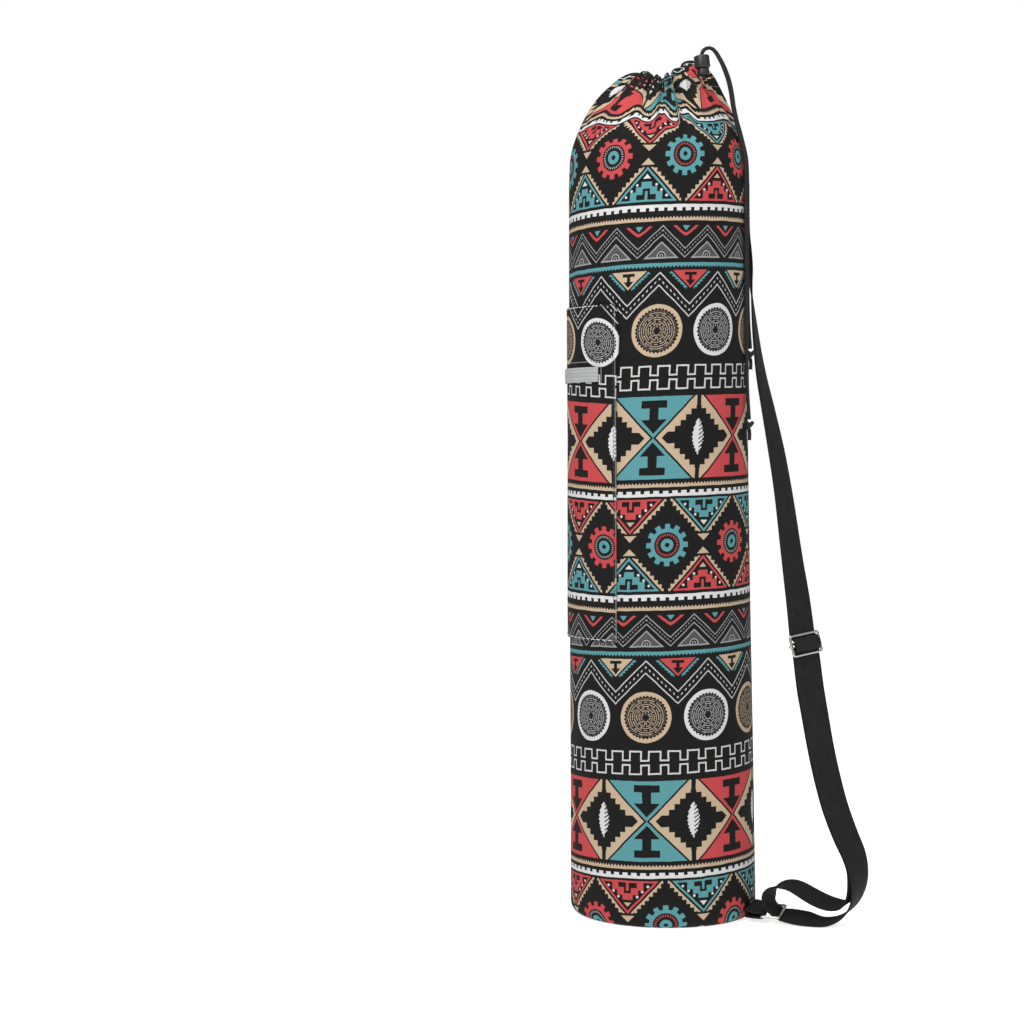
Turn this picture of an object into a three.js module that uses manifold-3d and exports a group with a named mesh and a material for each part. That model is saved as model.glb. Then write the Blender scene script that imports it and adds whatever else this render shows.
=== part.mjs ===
// Yoga mat bag: a tall drawstring tube of printed canvas with a patch pocket and a webbing strap.
// Millimetres, +Z up, the front faces -Y. The origin is the centre of the base's underside.
// Angles go round the bag from the front (0) towards the right (+90).
import * as THREE from 'three';
import { mergeVertices } from 'three/addons/utils/BufferGeometryUtils.js';
import Module from 'manifold-3d';

const wasm = await Module();
wasm.setup();

// Driving sizes of the bag
const BAG_HEIGHT = 700; // floor to the top of the gathers on the left
const BAG_RADIUS = 77; // at the base
const BAG_LEAN = 5.7; // how far the top stands to the left of the base
const CLOTH = 2; // wall of the tube and the base
const SEAM_ROLL = 8; // radius of the rounded edge at the base seam
const CASING_CLOTH = 3; // the hem is folded double
const CLEARANCE = 0.3; // between pieces that touch
const CURVE_SLACK = 0.2; // more, where one faceted curve lies on another

const SEAM_BENDS = [0, 30, 60, 90]; // degrees up the rounded edge
const ON_TUBE = CLEARANCE + CURVE_SLACK; // from the tube to what lies on it

// Gathers
const PLEATS = 14;
const STEPS_PER_PLEAT = 4;
const PLEAT_DEPTH = 3.6; // from the mean line to a ridge
const EAR_ANGLE = 92; // the raised fold beside the cord lock
const EAR_WIDTH = 45; // degrees
const EAR_RISE = 9.5;
const EAR_SPREAD = 2.5;

// Pocket
const POCKET_CLOTH = 1.5;
const POCKET_BOTTOM = 230;
const POCKET_TOP = 502;
const POCKET_FRONT_ANGLE = -27;
const POCKET_BACK_ANGLE = -139;
const ZIP_BOTTOM = 440;
const ZIP_WIDTH = 12;
const ZIP_THICKNESS = 1.2;
const ZIP_FRONT_ANGLE = -40.5;
const ZIP_BACK_ANGLE = -126;
const ON_POCKET = ON_TUBE + POCKET_CLOTH + ON_TUBE;
const POCKET_STEPS = 18;
const ZIP_STEPS = 14;

// Webbing and its wire fittings
const WEBBING_WIDTH = 25;
const WEBBING = 1.5;
const STRAP_ANGLE = 102; // where the strap is sewn to the tube
const STRAP_SEWN_TOP = 606;
const STRAP_SEWN_LENGTH = 40;
const STRAP_REACH = 84; // from the side of the bag to the strap's furthest bend
const LOOP_HEIGHT = 30; // of the strap's arch over the floor
const WIRE = 2.2;
const SIDE_PLAY = 0.5; // each side of the webbing inside the wire fittings
const SLIDER_PITCH = 8.2; // between neighbouring bars of the slider
const SLIDER_KNOB = 3; // diameter of the end of the middle bar
const RING_DEPTH = 15; // between the ring's two long bars
const RING_OUT = 20.5; // strap bar of the ring, from the side of the bag
const RING_FRONT = 0.526; // share of BAG_RADIUS towards the front
const RING_LIFT = 8.4;
const RING_TURN = 75; // direction of its long bars, from +X to +Y
const RING_RISE = 9.4;
const TAB_ANGLE = 67;
const TAB_TOP = 11.5;
const TAB_BOTTOM = 6.3;
const STRAP_STEP = 14; // between the sections of the webbing

// Drawcord and lock
const CORD = 3;
const CORD_SIDES = 8;
const CORD_SPACING = 3.6; // between the two cords' middles in the lock
const LOCK_WALL = 2.7;
const LOCK_BODY_LENGTH = 10.5;
const LOCK_BODY_ROLL = 1.4; // size of its bevelled edges
const LOCK_BUTTON_LENGTH = 5.5;
const LOCK_BUTTON_WALL = 1.4;
const LOCK_BUTTON_ROLL = 0.7;
const LOCK_TILT = 7;
const LOCK_PLACE = { x: 30.4, y: -35.3, z: 699.7 }; // middle of the lock's body
const KNOT_RADIUS = 3.3;
const KNOT_LENGTH = 9;
const KNOT_TAIL = 8;

// The tube from the base seam to the shoulder. height is a share of BAG_HEIGHT, radius of BAG_RADIUS,
// lean of BAG_LEAN, pleat of PLEAT_DEPTH and ear of EAR_RISE and EAR_SPREAD.
const TUBE_SECTIONS = [
  { height: 0.036, radius: 1.0, lean: 0.0, pleat: 0.0, ear: 0.0 },
  { height: 0.19, radius: 0.989, lean: 0.21, pleat: 0.0, ear: 0.0 },
  { height: 0.37, radius: 0.975, lean: 0.52, pleat: 0.0, ear: 0.0 },
  { height: 0.55, radius: 0.961, lean: 0.71, pleat: 0.0, ear: 0.0 },
  { height: 0.73, radius: 0.959, lean: 0.89, pleat: 0.0, ear: 0.0 },
  { height: 0.825, radius: 0.956, lean: 0.95, pleat: 0.0, ear: 0.0 },
  { height: 0.875, radius: 0.953, lean: 1.0, pleat: 0.06, ear: 0.0 },
  { height: 0.9, radius: 0.938, lean: 1.03, pleat: 0.16, ear: 0.0 },
  { height: 0.924, radius: 0.868, lean: 1.03, pleat: 0.36, ear: 0.03 },
  { height: 0.943, radius: 0.787, lean: 0.95, pleat: 0.56, ear: 0.1 },
  { height: 0.958, radius: 0.7, lean: 0.8, pleat: 0.74, ear: 0.22 },
  { height: 0.9705, radius: 0.612, lean: 0.65, pleat: 0.88, ear: 0.42 },
  { height: 0.98, radius: 0.53, lean: 0.55, pleat: 1.0, ear: 0.7 },
];

// The hem goes on from the last section of the tube and rolls into the mouth.
const CASING_SECTIONS = [
  { height: 0.9895, radius: 0.425, lean: 0.5, pleat: 0.95, ear: 0.93 },
  { height: 0.9955, radius: 0.31, lean: 0.5, pleat: 0.8, ear: 1.0 },
  { height: 0.9945, radius: 0.22, lean: 0.5, pleat: 0.6, ear: 0.96 },
  { height: 0.983, radius: 0.185, lean: 0.5, pleat: 0.45, ear: 0.8 },
];

// The strap from the sewn end down to the slider. height is a share of BAG_HEIGHT, reach of STRAP_REACH
// from the side of the bag, front of BAG_RADIUS towards the front. turn and rise give the direction
// across the webbing: degrees from +X to +Y, and degrees up.
const UPPER_STRAP = [
  { height: 0.772, reach: -0.067, front: -0.19, turn: 97, rise: 0 },
  { height: 0.741, reach: -0.05, front: -0.17, turn: 89, rise: 0 },
  { height: 0.699, reach: -0.018, front: -0.14, turn: 80, rise: 0 },
  { height: 0.669, reach: 0.01, front: -0.11, turn: 75, rise: 0 },
  { height: 0.637, reach: 0.049, front: -0.075, turn: 69, rise: 0 },
  { height: 0.607, reach: 0.099, front: -0.035, turn: 64, rise: 0 },
  { height: 0.55, reach: 0.19, front: 0.05, turn: 56, rise: 1 },
  { height: 0.5, reach: 0.257, front: 0.12, turn: 52, rise: 2 },
  { height: 0.421, reach: 0.342, front: 0.22, turn: 44, rise: 4 },
  { height: 0.374, reach: 0.396, front: 0.28, turn: 37, rise: 6 },
];
const SLIDER_PLACE = { height: 0.3235, reach: 0.469, front: 0.36, turn: 33, rise: 8 };

// The front layer from the slider to the floor.
const FRONT_LAYER = [
  { height: 0.27, reach: 0.519, front: 0.43, turn: 31, rise: 5 },
  { height: 0.236, reach: 0.567, front: 0.47, turn: 32, rise: 4 },
  { height: 0.201, reach: 0.619, front: 0.5, turn: 33, rise: 4 },
  { height: 0.167, reach: 0.681, front: 0.53, turn: 33, rise: 4 },
  { height: 0.132, reach: 0.761, front: 0.57, turn: 34, rise: 5 },
  { height: 0.098, reach: 0.869, front: 0.61, turn: 37, rise: 5 },
  { height: 0.081, reach: 0.93, front: 0.63, turn: 41, rise: 4 },
  { height: 0.0645, reach: 0.962, front: 0.65, turn: 47, rise: 2 },
];

// The bend on the floor and the way back to the ring. up is a share of LOOP_HEIGHT.
const FLOOR_LAYER = [
  { up: 1.11, reach: 0.968, front: 0.66, turn: 55, rise: 0 },
  { up: 0.73, reach: 0.94, front: 0.66, turn: 66, rise: -4 },
  { up: 0.45, reach: 0.89, front: 0.655, turn: 76, rise: -6 },
  { up: 0.26, reach: 0.815, front: 0.65, turn: 84, rise: -6 },
  { up: 0.115, reach: 0.73, front: 0.65, turn: 89, rise: -2 },
  { up: 0.11, reach: 0.615, front: 0.65, turn: 90, rise: 7 },
  { up: 0.165, reach: 0.455, front: 0.64, turn: 87, rise: 17 },
  { up: 0.19, reach: 0.35, front: 0.59, turn: 81, rise: 15 },
];

// From the ring up, over and back under the front layer.
const ARCH = [
  { up: 0.41, reach: 0.135, front: 0.5, turn: 69, rise: 5 },
  { up: 0.68, reach: 0.11, front: 0.495, turn: 60, rise: -3 },
  { up: 0.89, reach: 0.15, front: 0.495, turn: 62, rise: -1 },
  { up: 0.98, reach: 0.22, front: 0.5, turn: 66, rise: 3 },
  { up: 1.0, reach: 0.297, front: 0.505, turn: 66, rise: 6 },
  { up: 0.94, reach: 0.384, front: 0.51, turn: 66, rise: 10 },
  { up: 0.8, reach: 0.48, front: 0.52, turn: 65, rise: 13 },
  { up: 0.63, reach: 0.602, front: 0.545, turn: 65, rise: 14 },
  { up: 0.53, reach: 0.717, front: 0.56, turn: 66, rise: 12 },
  { up: 0.525, reach: 0.81, front: 0.585, turn: 65, rise: 8 },
  { up: 0.62, reach: 0.878, front: 0.61, turn: 61, rise: 3 },
  { up: 0.84, reach: 0.925, front: 0.635, turn: 55, rise: 1 },
];

// Chosen points down the middle of the long cord end, from the cloth through the lock to its knot.
const LONG_CORD = [
  [32.4, -37.2, 684.7], [32.0, -37.1, 686.7], [31.5, -37.1, 691.2], [31.0, -37.1, 695.2],
  [30.5, -37.1, 699.2], [30.2, -37.1, 702.4], [30.1, -37.1, 705.0], [30.9, -37.0, 707.9],
  [33.0, -36.8, 710.0], [35.9, -36.3, 710.8], [38.6, -35.6, 710.1], [40.8, -34.6, 708.2],
  [43.5, -33.3, 704.2], [46.7, -31.7, 698.3], [49.2, -30.1, 692.5], [51.4, -28.5, 686.4],
  [53.0, -27.0, 680.4], [54.4, -25.9, 673.0], [55.7, -25.1, 664.5], [58.0, -24.8, 654.0],
  [60.8, -24.6, 643.8], [63.3, -24.4, 634.4], [65.5, -24.3, 624.5], [66.5, -24.2, 612.0],
  [66.6, -24.2, 596.0], [66.6, -24.2, 576.0], [66.8, -24.2, 552.0], [67.0, -24.2, 528.0],
  [67.1, -24.2, 504.0], [67.4, -24.2, 480.0], [67.8, -24.3, 456.0], [68.3, -24.4, 434.0],
  [69.8, -24.9, 410.0],
];
const SHORT_CORD = [
  [32.4, -33.6, 686.7], [32.0, -33.5, 686.7], [31.5, -33.5, 691.2], [31.0, -33.5, 695.2],
  [30.5, -33.5, 699.2], [30.2, -33.5, 702.6], [30.1, -33.5, 705.2], [31.0, -33.4, 708.3],
  [33.2, -33.2, 710.6], [36.3, -32.7, 711.4], [39.3, -32.0, 710.5], [41.6, -31.0, 708.4],
  [44.6, -29.7, 704.2], [48.0, -28.1, 698.3], [50.6, -26.5, 692.5], [52.8, -24.9, 686.4],
  [54.4, -23.4, 680.4], [55.7, -22.3, 673.0], [57.0, -21.5, 664.5], [59.3, -21.2, 654.0],
  [62.2, -21.0, 643.8], [64.6, -20.8, 634.4], [66.8, -20.6, 624.5], [67.8, -20.5, 612.0],
  [67.9, -20.5, 596.0], [67.9, -20.5, 576.0], [68.1, -20.5, 552.0], [68.3, -20.5, 528.0],
  [68.6, -20.4, 506.0], [69.4, -20.1, 486.0], [70.8, -19.7, 468.0],
];

const part = new THREE.Group();

// Materials
const printedCanvas = new THREE.MeshStandardMaterial({ color: 0x2a292b, roughness: 0.85, metalness: 0 });
const zipTape = new THREE.MeshStandardMaterial({ color: 0x9c9c9e, roughness: 0.7, metalness: 0 });
const webbing = new THREE.MeshStandardMaterial({ color: 0x232324, roughness: 0.8, metalness: 0 });
const steelWire = new THREE.MeshStandardMaterial({ color: 0xa8a8a4, roughness: 0.3, metalness: 1 });
const cordBraid = new THREE.MeshStandardMaterial({ color: 0x262627, roughness: 0.8, metalness: 0 });
const blackPlastic = new THREE.MeshStandardMaterial({ color: 0x161617, roughness: 0.45, metalness: 0 });

const radians = THREE.MathUtils.degToRad;

function addPiece(name, geometry, material, parent = part) {
  const piece = new THREE.Mesh(geometry, material);
  piece.name = name;
  parent.add(piece);
  return piece;
}

// A closed mesh through rings of points with equal counts. A closed loft joins its last ring to its
// first, an open one has flat ends.
function loft(rings, closed) {
  const count = rings[0].length;
  const positions = rings.flat().flatMap((p) => [p.x, p.y, p.z]);
  const index = [];
  const bands = closed ? rings.length : rings.length - 1;
  for (let i = 0; i < bands; i++) {
    const a = i * count;
    const b = ((i + 1) % rings.length) * count;
    for (let j = 0; j < count; j++) {
      const k = (j + 1) % count;
      index.push(a + j, b + j, b + k, a + j, b + k, a + k);
    }
  }
  if (!closed) {
    const last = (rings.length - 1) * count;
    for (const [u, v, w] of flatEnd(rings[0])) {
      index.push(u, v, w);
    }
    for (const [u, v, w] of flatEnd(rings[rings.length - 1])) {
      index.push(last + w, last + v, last + u);
    }
  }
  const geometry = new THREE.BufferGeometry();
  geometry.setAttribute('position', new THREE.Float32BufferAttribute(positions, 3));
  geometry.setIndex(index);
  return facingOut(geometry);
}

// Triangles of an end ring whose first half runs beside its second half, as the two faces of a sheet do.
function flatEnd(ring) {
  const triangles = [];
  for (let low = 0, high = ring.length - 1; high - low > 1; ) {
    if (high - low > 2) {
      triangles.push([low, low + 1, high - 1]);
      triangles.push([low, high - 1, high]);
    } else {
      triangles.push([low, low + 1, high]);
    }
    low += 1;
    high -= 1;
  }
  return triangles;
}

function facingOut(geometry) {
  const p = geometry.getAttribute('position');
  const index = geometry.getIndex().array;
  const [a, b, c] = [new THREE.Vector3(), new THREE.Vector3(), new THREE.Vector3()];
  let volume = 0;
  for (let i = 0; i < index.length; i += 3) {
    a.fromBufferAttribute(p, index[i]);
    b.fromBufferAttribute(p, index[i + 1]);
    c.fromBufferAttribute(p, index[i + 2]);
    volume += a.dot(b.cross(c));
  }
  if (volume < 0) {
    for (let i = 0; i < index.length; i += 3) {
      [index[i], index[i + 1]] = [index[i + 1], index[i]];
    }
  }
  geometry.computeVertexNormals();
  return geometry;
}

// Joins closed geometries into one solid.
function joined(geometries) {
  const solids = geometries.map((geometry) => {
    const bare = geometry.clone();
    bare.deleteAttribute('normal');
    bare.deleteAttribute('uv');
    const merged = mergeVertices(bare, 1e-4);
    return new wasm.Manifold(new wasm.Mesh({
      numProp: 3,
      vertProperties: new Float32Array(merged.getAttribute('position').array),
      triVerts: new Uint32Array(merged.getIndex().array),
    }));
  });
  const mesh = solids.reduce((all, solid) => all.add(solid)).getMesh();
  const geometry = new THREE.BufferGeometry();
  geometry.setAttribute('position', new THREE.Float32BufferAttribute(mesh.vertProperties, 3));
  geometry.setIndex(Array.from(mesh.triVerts));
  geometry.computeVertexNormals();
  return geometry;
}

// The bag's surface
// A point of the bag from its angle, distance from the axis, height and the lean there.
function aroundAxis(angle, radius, height, lean) {
  const a = radians(angle);
  return new THREE.Vector3(lean + radius * Math.sin(a), -radius * Math.cos(a), height);
}

function earShare(angle) {
  const apart = ((angle - EAR_ANGLE + 540) % 360) - 180;
  return Math.exp(-((apart / EAR_WIDTH) ** 2));
}

// Outer line of the cloth at one angle, from the base seam to the mouth, with its outward direction.
function clothLine(angle) {
  const line = [];
  for (const bend of SEAM_BENDS) {
    line.push({
      radius: BAG_RADIUS - SEAM_ROLL * (1 - Math.sin(radians(bend))),
      height: SEAM_ROLL * (1 - Math.cos(radians(bend))),
      lean: 0,
      pleat: 0,
    });
  }
  const ear = earShare(angle);
  for (const section of [...TUBE_SECTIONS, ...CASING_SECTIONS]) {
    line.push({
      radius: section.radius * BAG_RADIUS + section.ear * ear * EAR_SPREAD,
      height: section.height * BAG_HEIGHT + section.ear * ear * EAR_RISE,
      lean: -section.lean * BAG_LEAN,
      pleat: section.pleat * PLEAT_DEPTH,
    });
  }
  line.forEach((point, i) => {
    const before = line[Math.max(i - 1, 0)];
    const after = line[Math.min(i + 1, line.length - 1)];
    const along = new THREE.Vector2(after.radius - before.radius, after.height - before.height).normalize();
    point.along = along;
    point.out = i === 0 ? new THREE.Vector2(0, -1) : new THREE.Vector2(along.y, -along.x);
  });
  return line;
}

// A place on the cloth, moved outwards by the pleat there and by the given distance.
function clothPoint(angle, point, distance) {
  const wave = point.pleat * Math.cos(radians(PLEATS * angle));
  const shift = wave + distance;
  return aroundAxis(angle, point.radius + point.out.x * shift, point.height + point.out.y * shift, point.lean);
}

const AROUND = PLEATS * STEPS_PER_PLEAT;
const TUBE_POINTS = SEAM_BENDS.length + TUBE_SECTIONS.length;

function clothRings(choose, thickness) {
  const rings = [];
  for (let i = 0; i < AROUND; i++) {
    const angle = (360 * i) / AROUND;
    const line = choose(clothLine(angle));
    const outer = line.map((point) => clothPoint(angle, point, 0));
    const inner = line.map((point) => clothPoint(angle, point, -thickness));
    rings.push([...outer, ...inner.reverse()]);
  }
  return rings;
}

function makeTube() {
  return loft(clothRings((line) => line.slice(0, TUBE_POINTS), CLOTH), true);
}

// The hem starts a clearance beyond the tube's last section.
function makeCasing() {
  const choose = (line) => {
    const start = { ...line[TUBE_POINTS - 1] };
    start.radius += start.along.x * CLEARANCE;
    start.height += start.along.y * CLEARANCE;
    return [start, ...line.slice(TUBE_POINTS)];
  };
  return loft(clothRings(choose, CASING_CLOTH), true);
}

function makeBase() {
  const radius = BAG_RADIUS - SEAM_ROLL - CLEARANCE;
  const panel = new THREE.CylinderGeometry(radius, radius, CLOTH, AROUND);
  panel.rotateX(Math.PI / 2);
  panel.translate(0, 0, CLOTH / 2);
  return panel;
}

// Radius and lean of the tube's side at one height, between the sections of the table.
function tubeAt(height) {
  const share = height / BAG_HEIGHT;
  const upper = TUBE_SECTIONS.findIndex((section) => section.height > share);
  const [low, high] = [TUBE_SECTIONS[upper - 1], TUBE_SECTIONS[upper]];
  const part = (share - low.height) / (high.height - low.height);
  return {
    height,
    radius: THREE.MathUtils.lerp(low.radius, high.radius, part) * BAG_RADIUS,
    lean: -THREE.MathUtils.lerp(low.lean, high.lean, part) * BAG_LEAN,
  };
}

// A panel that lies on the tube's side, between two heights and two angles.
function sidePanel(bottom, top, from, to, distance, thickness, steps) {
  const heights = TUBE_SECTIONS.map((section) => section.height * BAG_HEIGHT);
  const between = heights.filter((height) => height > bottom && height < top);
  const rows = [bottom, ...between, top].map(tubeAt);
  const rings = [];
  for (let i = 0; i <= steps; i++) {
    const angle = THREE.MathUtils.lerp(from, to, i / steps);
    const outer = rows.map((row) => aroundAxis(angle, row.radius + distance + thickness, row.height, row.lean));
    const inner = rows.map((row) => aroundAxis(angle, row.radius + distance, row.height, row.lean));
    rings.push([...outer, ...inner.reverse()]);
  }
  return loft(rings, false);
}

// Webbing
// A station on a webbing's route: the middle, and the direction across it.
function station(x, y, z, turn, rise) {
  const flat = Math.cos(radians(rise));
  return {
    at: new THREE.Vector3(x, y, z),
    across: new THREE.Vector3(
      flat * Math.cos(radians(turn)),
      flat * Math.sin(radians(turn)),
      Math.sin(radians(rise)),
    ),
  };
}

function strapStation(row) {
  const height = row.up === undefined ? row.height * BAG_HEIGHT : row.up * LOOP_HEIGHT;
  return station(BAG_RADIUS + row.reach * STRAP_REACH, -row.front * BAG_RADIUS, height, row.turn, row.rise);
}

// Stations a step apart along a smooth curve through the given ones.
function smoothed(stations, step) {
  const middle = new THREE.CatmullRomCurve3(stations.map((s) => s.at), false, 'centripetal');
  const across = new THREE.CatmullRomCurve3(stations.map((s) => s.across), false, 'catmullrom');
  const count = Math.max(2, Math.round(middle.getLength() / step));
  const result = [];
  for (let i = 0; i <= count; i++) {
    const t = middle.getUtoTmapping(i / count);
    result.push({ at: middle.getPoint(t), across: across.getPoint(t).normalize() });
  }
  return result;
}

function flatBand(stations, width, thickness) {
  const rings = stations.map((s, i) => {
    const before = stations[Math.max(i - 1, 0)].at;
    const after = stations[Math.min(i + 1, stations.length - 1)].at;
    const along = after.clone().sub(before).normalize();
    const across = s.across.clone().addScaledVector(along, -s.across.dot(along)).normalize();
    const face = along.clone().cross(across);
    const corner = (u, v) => s.at.clone()
      .addScaledVector(across, (u * width) / 2)
      .addScaledVector(face, (v * thickness) / 2);
    return [corner(-1, 1), corner(1, 1), corner(1, -1), corner(-1, -1)];
  });
  return loft(rings, false);
}

// Wire fittings
// A frame of directions for a wire fitting: across the webbing, up along it, and out of its face.
function fittingFrame(place, along) {
  const across = place.across.clone().normalize();
  const up = along.clone().addScaledVector(across, -along.dot(across)).normalize();
  return { at: place.at, across, up, face: up.clone().cross(across).negate() };
}

function inFrame(frame, across, up, face) {
  return frame.at.clone()
    .addScaledVector(frame.across, across)
    .addScaledVector(frame.up, up)
    .addScaledVector(frame.face, face);
}

function rod(from, to, diameter) {
  const along = to.clone().sub(from);
  const geometry = new THREE.CapsuleGeometry(diameter / 2, along.length(), 2, 8);
  const turn = new THREE.Quaternion().setFromUnitVectors(new THREE.Vector3(0, 1, 0), along.normalize());
  geometry.applyQuaternion(turn);
  const middle = from.clone().add(to).multiplyScalar(0.5);
  geometry.translate(middle.x, middle.y, middle.z);
  return geometry;
}

const BAR_HALF = WEBBING_WIDTH / 2 + SIDE_PLAY + WIRE / 2;
const WRAP = WIRE / 2 + CLEARANCE + WEBBING / 2; // from a bar's middle to the middle of the webbing on it
const LAYER = WEBBING + CLEARANCE; // between the middles of two layers

function wireFrame(frame, levels) {
  const rods = levels.map((up) => rod(inFrame(frame, -BAR_HALF, up, 0), inFrame(frame, BAR_HALF, up, 0), WIRE));
  const ends = [levels[0], levels[levels.length - 1]];
  for (const side of [-BAR_HALF, BAR_HALF]) {
    rods.push(rod(inFrame(frame, side, ends[0], 0), inFrame(frame, side, ends[1], 0), WIRE));
  }
  return rods;
}

// Stations on an arc round a bar. Angles go from up towards the face.
function roundBar(frame, level, radius, from, to, steps) {
  const result = [];
  for (let i = 0; i <= steps; i++) {
    const a = radians(THREE.MathUtils.lerp(from, to, i / steps));
    const at = inFrame(frame, 0, level + radius * Math.cos(a), radius * Math.sin(a));
    result.push({ at, across: frame.across.clone() });
  }
  return result;
}

// The slider's place and the webbing's two ways through it
const sliderStation = strapStation(SLIDER_PLACE);
const aboveSlider = strapStation(UPPER_STRAP[UPPER_STRAP.length - 1]);
const belowSlider = strapStation(FRONT_LAYER[0]);
const sliderFrame = fittingFrame(sliderStation, aboveSlider.at.clone().sub(belowSlider.at));

function throughSlider() {
  const over = WRAP + LAYER;
  const slope = THREE.MathUtils.radToDeg(Math.asin((WRAP + over) / SLIDER_PITCH));
  const meet = 90 - slope;
  return [
    ...roundBar(sliderFrame, SLIDER_PITCH, WRAP, 270, 180 + meet, 3),
    ...roundBar(sliderFrame, 0, over, meet, 180 - meet, 6),
    ...roundBar(sliderFrame, -SLIDER_PITCH, WRAP, -meet, -90, 3),
  ];
}

function sewnToSlider() {
  return [
    ...roundBar(sliderFrame, -SLIDER_PITCH, WRAP + LAYER, -90, -84, 1),
    ...roundBar(sliderFrame, 0, WRAP, -80, 115, 8),
  ];
}

// The ring's place. Its up direction is towards the tab.
const ringStation = station(BAG_RADIUS + RING_OUT, -RING_FRONT * BAG_RADIUS, RING_LIFT, RING_TURN, RING_RISE);
const tabSeam = aroundAxis(TAB_ANGLE, BAG_RADIUS, (TAB_TOP + TAB_BOTTOM) / 2, 0);
const ringFrame = fittingFrame(ringStation, tabSeam.sub(ringStation.at));

function makeSlider() {
  const knob = new THREE.SphereGeometry(SLIDER_KNOB / 2, 8, 6);
  const end = inFrame(sliderFrame, -BAR_HALF - WIRE / 2, 0, 0);
  knob.translate(end.x, end.y, end.z);
  return joined([...wireFrame(sliderFrame, [-SLIDER_PITCH, 0, SLIDER_PITCH]), knob]);
}

function makeRing() {
  return joined(wireFrame(ringFrame, [0, RING_DEPTH]));
}

// The whole strap: sewn end, slider, front layer, floor, ring, arch, back layer, and its end on the slider.
function strapRoute() {
  const sewn = [STRAP_SEWN_TOP, STRAP_SEWN_TOP - STRAP_SEWN_LENGTH].map((height) => {
    const side = tubeAt(height);
    const at = aroundAxis(STRAP_ANGLE, side.radius + ON_TUBE + WEBBING / 2, height, side.lean);
    return station(at.x, at.y, at.z, STRAP_ANGLE, 0);
  });
  const upper = [...sewn, ...UPPER_STRAP.map(strapStation), throughSlider()[0]];
  const front = smoothed([...FRONT_LAYER, ...FLOOR_LAYER].map(strapStation), STRAP_STEP);
  const underRing = roundBar(ringFrame, 0, WRAP, 250, 292, 2);
  const arch = smoothed([underRing[2], ...ARCH.map(strapStation)], STRAP_STEP / 2);
  const back = smoothed(FRONT_LAYER.map(strapStation).reverse(), STRAP_STEP).map(behindFrontLayer);
  return [
    ...smoothed(upper, STRAP_STEP),
    ...throughSlider().slice(1),
    ...front,
    ...underRing,
    ...arch.slice(1),
    ...back,
    ...sewnToSlider(),
  ];
}

// The back layer of the strap runs a layer behind the front one.
function behindFrontLayer(s, i, all) {
  const before = all[Math.max(i - 1, 0)].at;
  const after = all[Math.min(i + 1, all.length - 1)].at;
  const face = after.clone().sub(before).normalize().cross(s.across).normalize();
  return { at: s.at.clone().addScaledVector(face, LAYER + CURVE_SLACK), across: s.across.clone() };
}

// The tab is sewn into the base seam and folded round the ring's inner bar.
function makeTab() {
  const seam = BAG_RADIUS + ON_TUBE;
  const beside = (distance, height) => {
    const at = aroundAxis(TAB_ANGLE, seam + distance, height, 0);
    return station(at.x, at.y, at.z, TAB_ANGLE, RING_RISE);
  };
  const straight = (face) => ({
    at: inFrame(ringFrame, 0, RING_DEPTH + 2 * WIRE, face),
    across: ringFrame.across.clone(),
  });
  const route = [
    beside(0, TAB_TOP),
    beside(2 * WEBBING, TAB_TOP),
    straight(WRAP),
    ...roundBar(ringFrame, RING_DEPTH, WRAP, 90, 270, 8),
    straight(-WRAP),
    beside(2 * WEBBING, TAB_BOTTOM),
    beside(0, TAB_BOTTOM),
  ];
  return flatBand(route, WEBBING_WIDTH, WEBBING);
}

// Drawcord
function cordTube(points) {
  const route = new THREE.CatmullRomCurve3(points.map((p) => new THREE.Vector3(...p)), false, 'centripetal');
  const section = new THREE.Shape();
  for (let i = 0; i < CORD_SIDES; i++) {
    const a = (2 * Math.PI * i) / CORD_SIDES;
    const [x, y] = [(CORD / 2) * Math.cos(a), (CORD / 2) * Math.sin(a)];
    if (i === 0) {
      section.moveTo(x, y);
    } else {
      section.lineTo(x, y);
    }
  }
  const steps = Math.min(80, Math.round(route.getLength() / (2.4 * CORD)));
  return new THREE.ExtrudeGeometry(section, { steps, extrudePath: route, bevelEnabled: false });
}

// The knot hangs below the cord's last point, with a short tail of cord below it.
function addKnot(name, points) {
  const [x, y, z] = points[points.length - 1];
  const profile = [
    new THREE.Vector2(0, 0),
    new THREE.Vector2(CORD * 0.55, -KNOT_LENGTH * 0.04),
    new THREE.Vector2(KNOT_RADIUS, -KNOT_LENGTH * 0.35),
    new THREE.Vector2(KNOT_RADIUS, -KNOT_LENGTH * 0.65),
    new THREE.Vector2(CORD / 2, -KNOT_LENGTH),
    new THREE.Vector2(CORD / 2, -KNOT_LENGTH - KNOT_TAIL),
    new THREE.Vector2(0, -KNOT_LENGTH - KNOT_TAIL),
  ];
  const lathe = new THREE.LatheGeometry(profile.reverse(), 10);
  lathe.rotateX(Math.PI / 2);
  const knot = addPiece(name, lathe, cordBraid);
  knot.position.set(x, y, z - CLEARANCE);
}

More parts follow.
